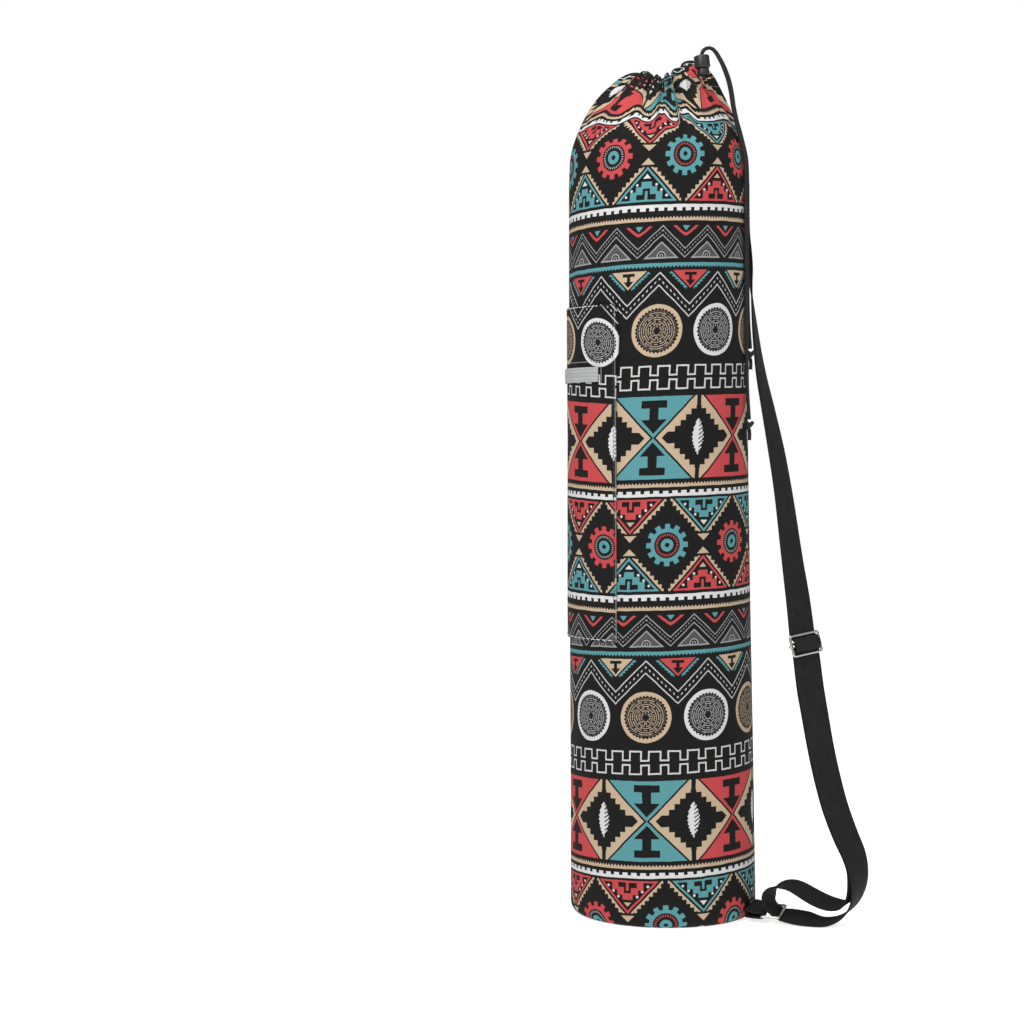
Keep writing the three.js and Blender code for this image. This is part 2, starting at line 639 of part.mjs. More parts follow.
// The lock is two short barrels in line, with one round hole for both cords.
function addLock() {
  const hole = (CORD_SPACING + CORD) / 2 + CLEARANCE;
  const barrel = (radius, length, roll) => {
    const half = length / 2;
    const profile = [
      new THREE.Vector2(hole, -half),
      new THREE.Vector2(radius - roll, -half),
      new THREE.Vector2(radius, -half + roll),
      new THREE.Vector2(radius, half - roll),
      new THREE.Vector2(radius - roll, half),
      new THREE.Vector2(hole, half),
      new THREE.Vector2(hole, -half),
    ];
    const lathe = new THREE.LatheGeometry(profile, 20);
    lathe.rotateX(Math.PI / 2);
    return lathe;
  };
  const lock = new THREE.Group();
  lock.position.set(LOCK_PLACE.x, LOCK_PLACE.y, LOCK_PLACE.z);
  lock.rotation.y = radians(-LOCK_TILT);
  part.add(lock);
  const body = barrel(hole + LOCK_WALL, LOCK_BODY_LENGTH, LOCK_BODY_ROLL);
  addPiece('cord_lock_body', body, blackPlastic, lock);
  const short = barrel(hole + LOCK_BUTTON_WALL, LOCK_BUTTON_LENGTH, LOCK_BUTTON_ROLL);
  const button = addPiece('cord_lock_button', short, blackPlastic, lock);
  button.position.z = -(LOCK_BODY_LENGTH + LOCK_BUTTON_LENGTH) / 2 - CLEARANCE;
}

addPiece('bag_body', makeTube(), printedCanvas);
addPiece('base_panel', makeBase(), printedCanvas);
addPiece('mouth_casing', makeCasing(), printedCanvas);
addPiece(
  'patch_pocket',
  sidePanel(
    POCKET_BOTTOM, POCKET_TOP, POCKET_FRONT_ANGLE, POCKET_BACK_ANGLE, ON_TUBE, POCKET_CLOTH, POCKET_STEPS,
  ),
  printedCanvas,
);
addPiece(
  'pocket_zip',
  sidePanel(
    ZIP_BOTTOM, ZIP_BOTTOM + ZIP_WIDTH, ZIP_FRONT_ANGLE, ZIP_BACK_ANGLE, ON_POCKET, ZIP_THICKNESS, ZIP_STEPS,
  ),
  zipTape,
);
addPiece('shoulder_strap', flatBand(strapRoute(), WEBBING_WIDTH, WEBBING), webbing);
addPiece('strap_slider', makeSlider(), steelWire);
addPiece('strap_ring', makeRing(), steelWire);
addPiece('ring_tab', makeTab(), webbing);
addLock();
addPiece('drawcord_long', cordTube(LONG_CORD), cordBraid);
addPiece('drawcord_short', cordTube(SHORT_CORD), cordBraid);
addKnot('cord_knot_long', LONG_CORD);
addKnot('cord_knot_short', SHORT_CORD);

export default part;
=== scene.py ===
"""Looks of the yoga mat bag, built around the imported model. Metres, +Z up, the front faces -Y.

Tables and sizes are in millimetres, as in the part's source, and turn into metres where a mesh is made.
"""

import math

import bmesh
import bpy
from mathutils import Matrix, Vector


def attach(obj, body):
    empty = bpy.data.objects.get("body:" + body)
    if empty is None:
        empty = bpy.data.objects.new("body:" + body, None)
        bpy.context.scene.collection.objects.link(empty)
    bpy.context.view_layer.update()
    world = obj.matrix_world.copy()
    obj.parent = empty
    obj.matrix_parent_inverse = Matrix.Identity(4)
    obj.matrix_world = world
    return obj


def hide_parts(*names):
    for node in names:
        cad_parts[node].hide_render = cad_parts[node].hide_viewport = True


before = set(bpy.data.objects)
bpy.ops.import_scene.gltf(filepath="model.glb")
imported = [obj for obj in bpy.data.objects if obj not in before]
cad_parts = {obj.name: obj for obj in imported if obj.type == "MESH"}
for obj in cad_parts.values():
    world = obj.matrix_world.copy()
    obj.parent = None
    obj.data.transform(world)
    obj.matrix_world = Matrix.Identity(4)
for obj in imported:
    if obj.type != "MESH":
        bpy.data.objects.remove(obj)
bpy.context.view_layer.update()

MM = 0.001

# Sizes of the bag
BAG_HEIGHT = 700
BAG_RADIUS = 77
BAG_LEAN = 5.7
CLOTH = 2
SEAM_ROLL = 8
ON_CLOTH = 0.5

# Gathers
PLEAT_DEPTH = 3.6
EAR_ANGLE = 92
EAR_WIDTH = 45
EAR_RISE = 9.5
EAR_SPREAD = 2.5


def table(columns, rows):
    """The rows of a table, each as a dictionary by the names of the columns."""
    names = columns.split()
    return [dict(zip(names, row)) for row in rows]


# Sections of the cloth as shares: height of BAG_HEIGHT, radius of BAG_RADIUS, lean of BAG_LEAN,
# pleat of PLEAT_DEPTH, ear of EAR_RISE and EAR_SPREAD. Bunch is the depth of the fine gathers in mm.
CLOTH_SECTIONS = table("height radius lean pleat ear bunch", [
    (0.036, 1.0, 0.0, 0.0, 0.0, 0.0),
    (0.19, 0.989, 0.21, 0.0, 0.0, 0.0),
    (0.37, 0.975, 0.52, 0.0, 0.0, 0.0),
    (0.55, 0.961, 0.71, 0.0, 0.0, 0.0),
    (0.73, 0.959, 0.89, 0.0, 0.0, 0.0),
    (0.825, 0.956, 0.95, 0.0, 0.0, 0.0),
    (0.875, 0.953, 1.0, 0.06, 0.0, 0.0),
    (0.9, 0.938, 1.03, 0.16, 0.0, 0.05),
    (0.924, 0.868, 1.03, 0.4, 0.03, 0.2),
    (0.943, 0.787, 0.95, 0.7, 0.1, 0.5),
    (0.958, 0.7, 0.8, 0.95, 0.22, 0.9),
    (0.9705, 0.612, 0.65, 1.1, 0.42, 1.2),
    (0.98, 0.53, 0.55, 1.15, 0.7, 1.4),
    (0.9895, 0.425, 0.5, 1.1, 0.93, 1.5),
    (0.9955, 0.31, 0.5, 0.95, 1.0, 1.4),
    (0.9945, 0.22, 0.5, 0.7, 0.96, 1.0),
    (0.983, 0.185, 0.5, 0.5, 0.8, 0.7),
])
TUBE_SECTION_COUNT = 13


# Camera
CAMERA_PLACE = (0, -1.823, 0.385)
LENS = 76.76
FOCAL_POINTS = 2183  # the lens's length in points of the picture
ASIDE = 151.6  # the bag's distance from the middle of the picture, in points
BELOW = 62


def add_camera():
    """The photograph's viewing angle, with the bag to the right of the picture's middle."""
    data = bpy.data.cameras.new("camera")
    data.sensor_width = 36
    data.lens = LENS
    data.clip_start = 0.05
    data.clip_end = 50
    camera = bpy.data.objects.new("camera", data)
    bpy.context.scene.collection.objects.link(camera)
    camera.location = CAMERA_PLACE
    yaw = math.atan2(ASIDE, FOCAL_POINTS)
    pitch = math.atan2(BELOW, FOCAL_POINTS)
    camera.rotation_euler = (math.pi / 2 - pitch, 0, yaw)
    bpy.context.scene.camera = camera


add_camera()


# Meshes
def add_mesh(name, points, faces, material, uvs=None, smooth=True):
    """A mesh from points in millimetres. uvs is one pair in metres for each point."""
    mesh = bpy.data.meshes.new(name)
    mesh.from_pydata([Vector(p) * MM for p in points], [], faces)
    if uvs is not None:
        layer = mesh.uv_layers.new(name="cloth")
        for loop in mesh.loops:
            layer.data[loop.index].uv = uvs[loop.vertex_index]
    for polygon in mesh.polygons:
        polygon.use_smooth = smooth
    mesh.materials.append(material)
    obj = bpy.data.objects.new(name, mesh)
    bpy.context.scene.collection.objects.link(obj)
    face_outwards(mesh)
    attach(obj, "root")
    return obj


def face_outwards(mesh):
    work = bmesh.new()
    work.from_mesh(mesh)
    bmesh.ops.recalc_face_normals(work, faces=work.faces)
    work.to_mesh(mesh)
    work.free()


def grid_faces(rows, columns, close_rows=False, close_columns=False):
    faces = []
    for i in range(rows if close_rows else rows - 1):
        for j in range(columns if close_columns else columns - 1):
            a = i * columns + j
            b = i * columns + (j + 1) % columns
            c = ((i + 1) % rows) * columns + (j + 1) % columns
            d = ((i + 1) % rows) * columns + j
            faces.append((a, b, c, d))
    return faces


def capped_tube(rings):
    """Points and faces of a closed tube through rings of equal counts, with an end face at each end."""
    count = len(rings[0])
    points = [p for ring in rings for p in ring]
    faces = grid_faces(len(rings), count, close_columns=True)
    last = (len(rings) - 1) * count
    faces.append(tuple(range(count)))
    faces.append(tuple(last + i for i in range(count)))
    return points, faces


# Curves, as the part's source draws them
def curve_point(points, power, position):
    """A point of a Catmull-Rom curve, position in spans. Power 0.25 is centripetal and None is uniform."""
    spans = len(points) - 1
    index = min(int(position), spans - 1)
    t = position - index
    p1, p2 = points[index], points[index + 1]
    p0 = points[index - 1] if index > 0 else p1 * 2 - p2
    p3 = points[index + 2] if index + 2 <= spans else p2 * 2 - p1
    if power is None:
        t1, t2 = (p2 - p0) / 2, (p3 - p1) / 2
    else:
        d0 = (p0 - p1).length_squared ** power
        d1 = (p1 - p2).length_squared ** power
        d2 = (p2 - p3).length_squared ** power
        t1 = ((p1 - p0) / d0 - (p2 - p0) / (d0 + d1) + (p2 - p1) / d1) * d1
        t2 = ((p2 - p1) / d1 - (p3 - p1) / (d1 + d2) + (p3 - p2) / d2) * d1
    c2 = p1 * -3 + p2 * 3 - t1 * 2 - t2
    c3 = p1 * 2 - p2 * 2 + t1 + t2
    return p1 + t1 * t + c2 * t * t + c3 * t * t * t


def even_positions(points, count):
    """Positions along a centripetal curve that cut it into count equal lengths, and its length."""
    fine = 24 * (len(points) - 1)
    places = [curve_point(points, 0.25, i * (len(points) - 1) / fine) for i in range(fine + 1)]
    lengths = [0.0]
    for a, b in zip(places, places[1:]):
        lengths.append(lengths[-1] + (b - a).length)
    result = []
    k = 0
    for i in range(count + 1):
        wanted = lengths[-1] * i / count
        while k < fine - 1 and lengths[k + 1] < wanted:
            k += 1
        share = (wanted - lengths[k]) / max(lengths[k + 1] - lengths[k], 1e-9)
        result.append(min(k + share, fine) * (len(points) - 1) / fine)
    return result, lengths[-1]


def curve_length(points):
    return even_positions(points, 1)[1]


# The bag's surface
def around_axis(angle, radius, height, lean):
    a = math.radians(angle)
    return Vector((lean + radius * math.sin(a), -radius * math.cos(a), height))


def ear_share(angle):
    apart = (angle - EAR_ANGLE + 540) % 360 - 180
    return math.exp(-((apart / EAR_WIDTH) ** 2))


SEAM_BENDS = (0, 22, 45, 67, 90)  # degrees round the base seam
SEAM_SPANS = len(SEAM_BENDS)


def section_line(angle):
    """The outer line of the cloth at one angle, from the base seam to the mouth, through the sections."""
    line = []
    for bend in SEAM_BENDS:
        b = math.radians(bend)
        radius = BAG_RADIUS - SEAM_ROLL * (1 - math.sin(b))
        line.append(Vector((radius, SEAM_ROLL * (1 - math.cos(b)))))
    shares = [{"lean": 0, "pleat": 0, "bunch": 0}] * SEAM_SPANS
    ear = ear_share(angle)
    for section in CLOTH_SECTIONS:
        line.append(Vector((
            section["radius"] * BAG_RADIUS + section["ear"] * ear * EAR_SPREAD,
            section["height"] * BAG_HEIGHT + section["ear"] * ear * EAR_RISE,
        )))
    return [Vector((p.x, p.y, 0)) for p in line], shares + CLOTH_SECTIONS


ROWS_IN_SPAN = [1] * SEAM_SPANS + [6, 7, 7, 7, 5, 5, 6, 8, 8, 8, 8, 8, 8, 8, 6, 6]


def cloth_rows():
    """Positions of the mesh's rows along the section line."""
    rows = []
    for span, count in enumerate(ROWS_IN_SPAN):
        rows.extend(span + i / count for i in range(count))
    rows.append(len(ROWS_IN_SPAN))
    return rows


# Ridges and hollows of the big folds, by their angle round the bag.
FOLDS = table("angle out", [
    (-180, 0.7), (-166, -1.0), (-152, 1.0), (-139, -0.9), (-126, 1.0),
    (-113, -1.0), (-100, 0.9), (-87, -0.8), (-72, 0.9), (-52, -0.9),
    (-30, 1.0), (-16.5, -1.0), (-6, 0.9), (3.5, -2.0), (12.5, 1.1),
    (21.5, -3.2), (31, 0.7), (66, -0.8), (81, 0.8), (95, -0.8),
    (109, 0.9), (124, -0.9), (138, 1.0), (152, -1.0), (166, 0.8),
    (180, 0.7),
])


def fold_wave(angle):
    """The big folds, not even round the bag."""
    turned = (angle + 180) % 360 - 180
    after = next(i for i, fold in enumerate(FOLDS) if fold["angle"] >= turned and i > 0)
    low, high = FOLDS[after - 1], FOLDS[after]
    t = (turned - low["angle"]) / (high["angle"] - low["angle"])
    return low["out"] + (high["out"] - low["out"]) * (1 - math.cos(math.pi * t)) / 2


def bunch_wave(angle):
    """The fine gathers that the drawcord makes."""
    a = math.radians(angle)
    wide = math.cos(31 * a + 1.4 * math.sin(5 * a))
    fine = math.cos(53 * a + 1.8 * math.sin(4 * a + 0.5))
    return 1.15 * wide + 0.55 * fine


def between(values, position):
    index = min(int(position), len(values) - 2)
    t = position - index
    return values[index] * (1 - t) + values[index + 1] * t


HEM_SPAN = SEAM_SPANS + TUBE_SECTION_COUNT - 1  # where the hem starts along the section line


def eased(value, low, high):
    """Goes gently from nothing at low to one at high."""
    t = min(1, max(0, (value - low) / (high - low)))
    return t * t * (3 - 2 * t)


FOLD_SWING = 1.1  # of the big folds, as a share of the pleat's depth
FOLD_INWARD = 0.45
GATHER_INWARD = 0.6
UPWARD_SWING = 0.35
SETTLED = 1.5  # how far the hem sinks, in mm, and how much more at the front
SETTLED_FRONT = 4
FRONT_WIDTH = 24  # in degrees


def cloth_column(angle, rows, inset=0.0):
    """Points up the cloth at one angle, with the length of cloth below each."""
    line, shares = section_line(angle)
    result = []
    wave, bunch = fold_wave(angle), bunch_wave(angle)
    length = 0.0
    before = None
    for position in rows:
        at = curve_point(line, 0.25, position)
        ahead = curve_point(line, 0.25, min(position + 0.02, len(line) - 1))
        behind = curve_point(line, 0.25, max(position - 0.02, 0))
        along = (ahead - behind).normalized()
        out = Vector((along.y, -along.x, 0))
        pleat = between([s["pleat"] for s in shares], position) * PLEAT_DEPTH
        fine = between([s["bunch"] for s in shares], position)
        lean = -between([s["lean"] for s in shares], position) * BAG_LEAN
        if before is not None:
            length += (at - before).length
        before = at
        swing = (wave * FOLD_SWING - FOLD_INWARD) * pleat + (bunch - GATHER_INWARD) * fine
        settled = eased(position, HEM_SPAN - 3, HEM_SPAN) * (1 - ear_share(angle)) * (
            SETTLED + SETTLED_FRONT * math.exp(-((angle / FRONT_WIDTH) ** 2))
        )
        place = at + Vector((out.x * swing, out.y * swing * UPWARD_SWING - settled, 0)) - out * inset
        result.append((around_axis(angle, place.x, place.y, lean), length))
    return result


# The flat canvas
CLOTH_RADIUS = 76  # of the canvas rolled into a tube
SEAM_RISE = 4.57  # length of cloth round the base seam beyond its height


# Cloth that the gathers take up, in mm, and the stretch of the cloth over which they do it
FOLD_TAKES = 11
FOLD_VARIES = 5.5
DEEPEST_FOLD = -1.6
FOLD_STRETCH = (626, 660)
HEM_TAKES = 26
HEM_STRETCH = (684, 708)
FRONT_TAKES = 20
FRONT_STRETCH = (640, 680)


def cloth_uv(angle, length):
    """Place in the flat cloth. The gathers take up cloth both ways, most of all at the front."""
    up = length - SEAM_RISE
    in_fold = FOLD_TAKES + FOLD_VARIES * max(fold_wave(angle), DEEPEST_FOLD)
    taken_up = eased(up, *FOLD_STRETCH) * in_fold + HEM_TAKES * eased(up, *HEM_STRETCH)
    taken_round = FRONT_TAKES * math.tanh((angle - 5) / 20) * eased(up, *FRONT_STRETCH)
    return ((math.radians(angle) * CLOTH_RADIUS + taken_round) * MM, (up + taken_up) * MM)


def tube_at(height):
    """Radius and lean of the tube's side at one height."""
    share = height / BAG_HEIGHT
    upper = next(i for i, s in enumerate(CLOTH_SECTIONS) if s["height"] > share)
    low, high = CLOTH_SECTIONS[upper - 1], CLOTH_SECTIONS[upper]
    part = (share - low["height"]) / (high["height"] - low["height"])
    radius = (low["radius"] * (1 - part) + high["radius"] * part) * BAG_RADIUS
    lean = -(low["lean"] * (1 - part) + high["lean"] * part) * BAG_LEAN
    return radius, lean


# Materials
def linear(red, green, blue):
    """A colour given in screen values from 0 to 255, as the shader needs it."""
    result = []
    for value in (red, green, blue):
        s = value / 255
        result.append(s / 12.92 if s <= 0.04045 else ((s + 0.055) / 1.055) ** 2.4)
    return (*result, 1)


class Field:
    """A number that varies over a surface: an output of one of a material's nodes."""

    def __init__(self, tree, socket):
        self.tree = tree
        self.socket = socket

    def maths(self, operation, *others):
        node = self.tree.nodes.new("ShaderNodeMath")
        node.operation = operation
        for i, value in enumerate((self, *others)):
            if isinstance(value, Field):
                self.tree.links.new(value.socket, node.inputs[i])
            else:
                node.inputs[i].default_value = value
        return Field(self.tree, node.outputs[0])

    def __add__(self, other):
        return self.maths("ADD", other)

    def __sub__(self, other):
        return self.maths("SUBTRACT", other)

    def __mul__(self, other):
        return self.maths("MULTIPLY", other)

    def size(self):
        return self.maths("ABSOLUTE")

    def above(self, edge):
        return self.maths("GREATER_THAN", edge)

    def below(self, edge):
        return self.maths("LESS_THAN", edge)

    def near(self, middle, half):
        """One where the number is within half of the middle, else nothing."""
        return self.maths("COMPARE", middle, half)

    def span(self, low, high):
        return self.near((low + high) / 2, (high - low) / 2)

    def either(self, other):
        return self.maths("MAXIMUM", other)

    def without(self, other):
        """This mask where the other one isn't."""
        return self.maths("GREATER_THAN", other)

    def wrapped(self, period):
        """Distance from the nearest whole multiple of the period."""
        return self.maths("WRAP", period / 2, -period / 2)

    def folded(self, half):
        """Rises from 0 to half and falls back, over and over."""
        return self.maths("PINGPONG", half)

    def stepped(self, step):
        return self.maths("SNAP", step)

    def away(self, other):
        """Distance from a point whose two coordinates these are."""
        return (self * self).maths("ADD", other * other).maths("SQRT")


class Inks:
    """Where each ink is printed on the black cloth."""

    def __init__(self):
        self.masks = {}

    def lay(self, ink, mask):
        self.masks[ink] = self.masks[ink].either(mask) if ink in self.masks else mask

    def lay_two(self, first, second, choice, mask):
        """The first ink where the choice is one, and the second elsewhere."""
        self.lay(first, mask * choice)
        self.lay(second, mask.without(choice))


def toothed_line(p, g, base, edge, tips, period, width):
    """A solid line with square teeth on one side."""
    solid = g.span(min(base, edge), max(base, edge))
    teeth = g.span(min(edge, tips), max(edge, tips)) * p.wrapped(period).near(0, width / 2)
    return solid.either(teeth)


def serrated_line(p, g, base, edge, tips, period):
    """A solid line with pointed teeth on its upper side."""
    ridge = p.folded(period / 2) * ((tips - edge) / (period / 2)) + edge
    return g.above(base) * g.below(ridge)


def gear_band(inks, p, g):
    y = g - 38.7
    rise = y.size()
    side = (p - 33.5).wrapped(62).size()
    band = rise.below(37.1)
    inside = (rise - 9.5) * 0.682 - side * 0.731
    triangle = inside.above(0) * band
    frame_line = inside.below(1.7).either(rise.above(35.5)) * triangle
    steps = (rise - 21.3).stepped(4).maths("MINIMUM", 8) * 1.14 + 4.4
    pyramid = side.below(steps) * rise.above(21.3)
    door = (side.below(3) * rise.near(29.2, 2.4)).either(side.below(8) * rise.above(31.4))
    door = door.without(side.below(1.1) * rise.above(28.8))
    pyramid = pyramid.without(door) * triangle
    teal = (p - 64.5).wrapped(248).size().below(62).near(y.above(0), 0.5)
    inks.lay_two("teal", "coral", teal, frame_line.either(pyramid))
    tip = (rise * 0.9 - 13.7).above(side) * rise.below(18.9)
    inks.lay_two("white", "tan", teal, tip)
    f = (side - 8).wrapped(4.5)
    dot = f.away(rise - 23.8 - (side - 8 - f) * 0.967).below(1.05) * side.near(12.5, 6.5)
    inks.lay("white", dot)
    stair = rise.stepped(3.5) * 0.933 - 2.0
    edge = side.below(stair) * inside.below(-1.6) * rise.above(9.8) * band * side.below(29.2)
    shard = (rise * 1.05 - 2.8).above(side) * rise.below(8)
    inks.lay("tan", edge.either(shard))

    across = (p - 2.5).wrapped(62)
    radius = across.away(y)
    angle = y.maths("ARCTAN2", across)
    tooth = (angle.wrapped(math.pi / 6) * radius).near(0, 2.15)
    wheel = (tooth * radius.below(17.1)).either(radius.below(13.6)) * radius.above(10.5)
    teal_gear = (p - 2.5).wrapped(124).size().below(31)
    inks.lay_two("teal", "coral", teal_gear, wheel)
    inks.lay("teal", radius.span(1.9, 5.2))
    beads = radius.span(7.5, 9.3) * angle.wrapped(math.pi / 14).near(0, 0.055)
    inks.lay_two("coral", "grey", teal_gear, beads)


def hourglass_band(inks, p, g):
    y = g - 125
    rise = y.size()
    column = (p + 12).wrapped(76)
    side = column.size()
    inside = rise * 0.7 - side * 0.714
    shape = inside.above(0) * rise.below(33.1)
    bar = side.below(10.5) * rise.span(23.8, 29.9)
    stem = side.below(3.7) * rise.span(14, 24)
    arrow = rise.below(14.6) * side.below(rise * 0.93 - 3)
    shape = shape.without(bar.either(stem).either(arrow))
    teal = (p + 12).wrapped(152).size().below(38)
    inks.lay_two("teal", "coral", teal, shape)

    b = (p - 26).wrapped(76)
    half = b.size()
    stair = (rise - 4.8).stepped(4.45) * -1.0 + 20.2
    point = half.below(rise * -1 + 31) * rise.below(4.8)
    core = (half.below(stair) * rise.span(4.8, 25)).either(point)
    ring = inside.below(-1.5).without(core.either(half.below(1.9))) * rise.below(33.1)
    inks.lay("tan", ring)
    t = y - 3.2
    notch = (y + half * 0.7).folded(1.7) * 0.8
    leaf = half.below(t * t * -0.0225 - t * 0.12 + 5.4 - notch)
    barbs = b.above(0.6) * (y - b * 0.7).wrapped(3.4).above(0.45)
    inks.lay("white", leaf.without(barbs))


def meander_band(inks, p, g):
    y = (g - 173.1).size()
    side = (p + 5.5).wrapped(15.7).size()
    outer = y.below(side.below(5.4) * 7.3 + 2.5)
    inner = y.below(side.below(4.1) * 7.3 + 1.2)
    inks.lay("white", outer.without(inner) * 0.9)


def disc_band(inks, p, g):
    side = (p + 12.9).folded(26)
    y = g - 210.3
    radius = side.away(y)
    angle = y.maths("ARCTAN2", side)
    tan = (p + 12.9).wrapped(104).size().below(26)
    rim = radius.span(18.2, 21)
    teeth = (radius - angle.folded(math.pi / 36) * 18).above(16.8) * radius.below(18.4)
    ring = (radius + 0.9).stepped(1.8)
    maze = radius.span(2.4, 16.0) * (radius - ring).size().below(0.4)
    gaps = ((ring * 0.222 + angle).wrapped(math.pi / 3) * radius).near(0, 0.8)
    links = ((ring * 0.267 + angle).wrapped(math.pi / 2.5) * radius).near(0, 0.4) * radius.span(2.4, 15.4)
    maze = maze.without(gaps).either(links)
    inks.lay_two("tan", "white", tan, rim.either(teeth))
    inks.lay_two("umber", "grey", tan, maze)

    line = g + side * 0.973
    inks.lay("white", line.near(256.3, 0.62).either(line.near(246.4, 0.62)) * 0.85)
    beads = line.near(251.3, 0.7) * side.wrapped(3.25).near(0, 0.65)
    inks.lay("white", beads * 0.85)

    valley = side * -1 + 26
    reach = (g - 243.5) * 1.047 - valley
    shape = reach.above(0) * g.below(258)
    bar = valley.below(5.2) * g.span(253.9, 256.4)
    stem = valley.below(1.4) * g.span(249.8, 254)
    arrow = g.below(250.2) * valley.below(g * 0.9 - 220.8)
    shape = shape.without(bar.either(stem).either(arrow))
    inks.lay_two("coral", "tan", (p - 13.1).wrapped(104).size().below(26), shape)
    outwards = reach * -0.69
    fringe = outwards.above(1.3) * outwards.below(g.wrapped(2.2).above(0) * 0.9 + 2.5)
    inks.lay("teal", fringe * g.span(243, 257) * valley.above(3))


def chevron_band(inks, p, g):
    inks.lay("teal", serrated_line(p, g * -1, -263.9, -261.7, -260.1, 3.1))
    side = (p + 12.8).folded(19.6)
    height = g * -1 + 281
    inside = height * 1.07 - side
    shape = inside.above(0) * g.above(267.4)
    border = inside.below(1.5).either(g.below(268.6)) * shape
    arc = side.away(g - 269.4)
    hatch = (g + side).wrapped(1.1).above(0.1) * shape.without(arc.below(4.6))
    inks.lay("grey", border.either(hatch * 0.6).either(arc.span(2.9, 4.1) * shape))
    inks.lay("grey", arc.span(0.9, 1.7) * shape)
    line = g + side * 0.925
    beads = line.near(289.9, 0.5) * side.wrapped(2.1).above(0)
    inks.lay("grey", line.near(293.2, 0.55).either(line.near(286.3, 0.55)).either(beads))
    valley = side * -1 + 19.6
    bend = (valley * valley * 0.75 + 2.4).maths("SQRT") + 283.6
    inks.lay("coral", (g - bend).near(0.9, 1.25) * g.below(293))
    inks.lay("teal", ((g - 288.9) * 0.78).above(valley) * g.below(293))


def print_inks(p, g):
    """The traditional banded pattern. p runs round the cloth and g up one repeat, in millimetres."""
    inks = Inks()
    gear_band(inks, p, g)
    inks.lay("white", toothed_line(p, g, 77.8, 80.2, 82.5, 7.6, 4.6))
    inks.lay("tan", serrated_line(p, g, 85.4, 87.2, 89.1, 2.9))
    hourglass_band(inks, p, g)
    meander_band(inks, p, g)
    disc_band(inks, p, g)
    chevron_band(inks, p, g)
    inks.lay("tan", serrated_line(p, g, 297, 298.8, 300.6, 2.9))
    inks.lay("white", toothed_line(p, g, 310, 307.6, 305, 7.6, 4.6))
    return inks


PRINT_REPEAT = 311
HEM_START = cloth_column(0, [r for r in cloth_rows() if r <= HEM_SPAN])[-1][1]
HEM_THREAD = cloth_uv(0, HEM_START)[1] / MM - 4
INK_COLOURS = {
    "grey": linear(132, 132, 133),
    "umber": linear(142, 126, 110),
    "white": linear(186, 186, 186),
    "tan": linear(168, 148, 124),
    "coral": linear(168, 62, 64),
    "teal": linear(76, 130, 135),
}
CLOTH_BLACK = linear(20, 19, 19)


def new_material(name):
    material = bpy.data.materials.new(name)
    material.use_nodes = True
    nodes = material.node_tree.nodes
    return material, nodes, material.node_tree.links, nodes["Principled BSDF"]


def cloth_coordinates(tree):
    """u round the cloth and v up it, in millimetres."""
    uv_map = tree.nodes.new("ShaderNodeUVMap")
    uv_map.uv_map = "cloth"
    parts = tree.nodes.new("ShaderNodeSeparateXYZ")
    tree.links.new(uv_map.outputs["UV"], parts.inputs[0])
    u = Field(tree, parts.outputs[0]) * 1000
    v = Field(tree, parts.outputs[1]) * 1000
    return u, v, uv_map


def add_noise(tree, uv_map, scale, detail=2.0):
    """Two numbers about one half that wander over the cloth."""
    noise = tree.nodes.new("ShaderNodeTexNoise")
    noise.inputs["Scale"].default_value = scale
    noise.inputs["Detail"].default_value = detail
    tree.links.new(uv_map.outputs["UV"], noise.inputs["Vector"])
    parts = tree.nodes.new("ShaderNodeSeparateColor")
    tree.links.new(noise.outputs["Color"], parts.inputs[0])
    return Field(tree, parts.outputs[0]), Field(tree, parts.outputs[1])


def add_bump(tree, height, strength, distance, before=None):
    bump = tree.nodes.new("ShaderNodeBump")
    bump.inputs["Strength"].default_value = strength
    bump.inputs["Distance"].default_value = distance
    tree.links.new(height.socket, bump.inputs["Height"])
    if before is not None:
        tree.links.new(before.outputs["Normal"], bump.inputs["Normal"])
    return bump


def finish_cloth(tree, shader, colour, bump, roughness, specular):
    tree.links.new(colour, shader.inputs["Base Color"])
    tree.links.new(bump.outputs["Normal"], shader.inputs["Normal"])
    shader.inputs["Roughness"].default_value = roughness
    shader.inputs["Specular IOR Level"].default_value = specular


def body_print(u, v):
    """Where a point of the tube lies in the print. The cloth is a little off the straight."""
    lean = v * v * 0.000072 - v * 0.0096
    g = v - u * 0.035 - (v - 425) * (v - 425) * 0.0000325 - 269.6
    return u - lean, g


def pocket_print(u, v):
    """The pocket is cut from another place of the cloth."""
    up = v - 267
    g = v + up * up * 0.00017 + (up * 0.0003 + 0.02) * (u + 50) + 1.3 - 269.6
    return u - 12.5, g


def mix_colour(tree, colour, ink, mask):
    mix = tree.nodes.new("ShaderNodeMix")
    mix.data_type = "RGBA"
    factor, first, second = mix.inputs[0], mix.inputs[6], mix.inputs[7]
    tree.links.new(mask.socket, factor)
    if isinstance(colour, tuple):
        first.default_value = colour
    else:
        tree.links.new(colour, first)
    second.default_value = ink
    return mix.outputs[2]


def hem_thread(u, v):
    """The seam that closes the hem round the drawcord."""
    return v.near(HEM_THREAD, 0.4) * u.wrapped(3.8).near(0, 1.4)


def pocket_edges(u, v):
    """The pocket's side edge, the fold of cloth above its zip, and the seam at the zip's end."""
    zip_end = u.near(-49.4, 0.45) * v.span(437, 457)
    return (u.near(-36.1, 0.4) * 0.55).either(v.near(456.4, 0.4) * u.below(-51) * 0.6).either(zip_end * 0.7)


def painted_shade_over_print(u, v):
    """Painted shade in plain black over the print: a painted shadow in a strip beside the pocket's loose top
    edge, and most of the hem's ruffles at the front, where the black stands partly for black print and partly
    for painted shade in the folds, with flecks of print left showing.
    """
    strip = u.span(-37, -29.5) * v.span(462, 494)
    streaks = ((u * 0.83).maths("SINE") + (u * 0.31 + v * 0.4).maths("SINE")).above(0.95)
    ruffles = v.above(HEM_THREAD - 9) * u.span(-70, 8)
    return strip.either(ruffles.without(streaks))


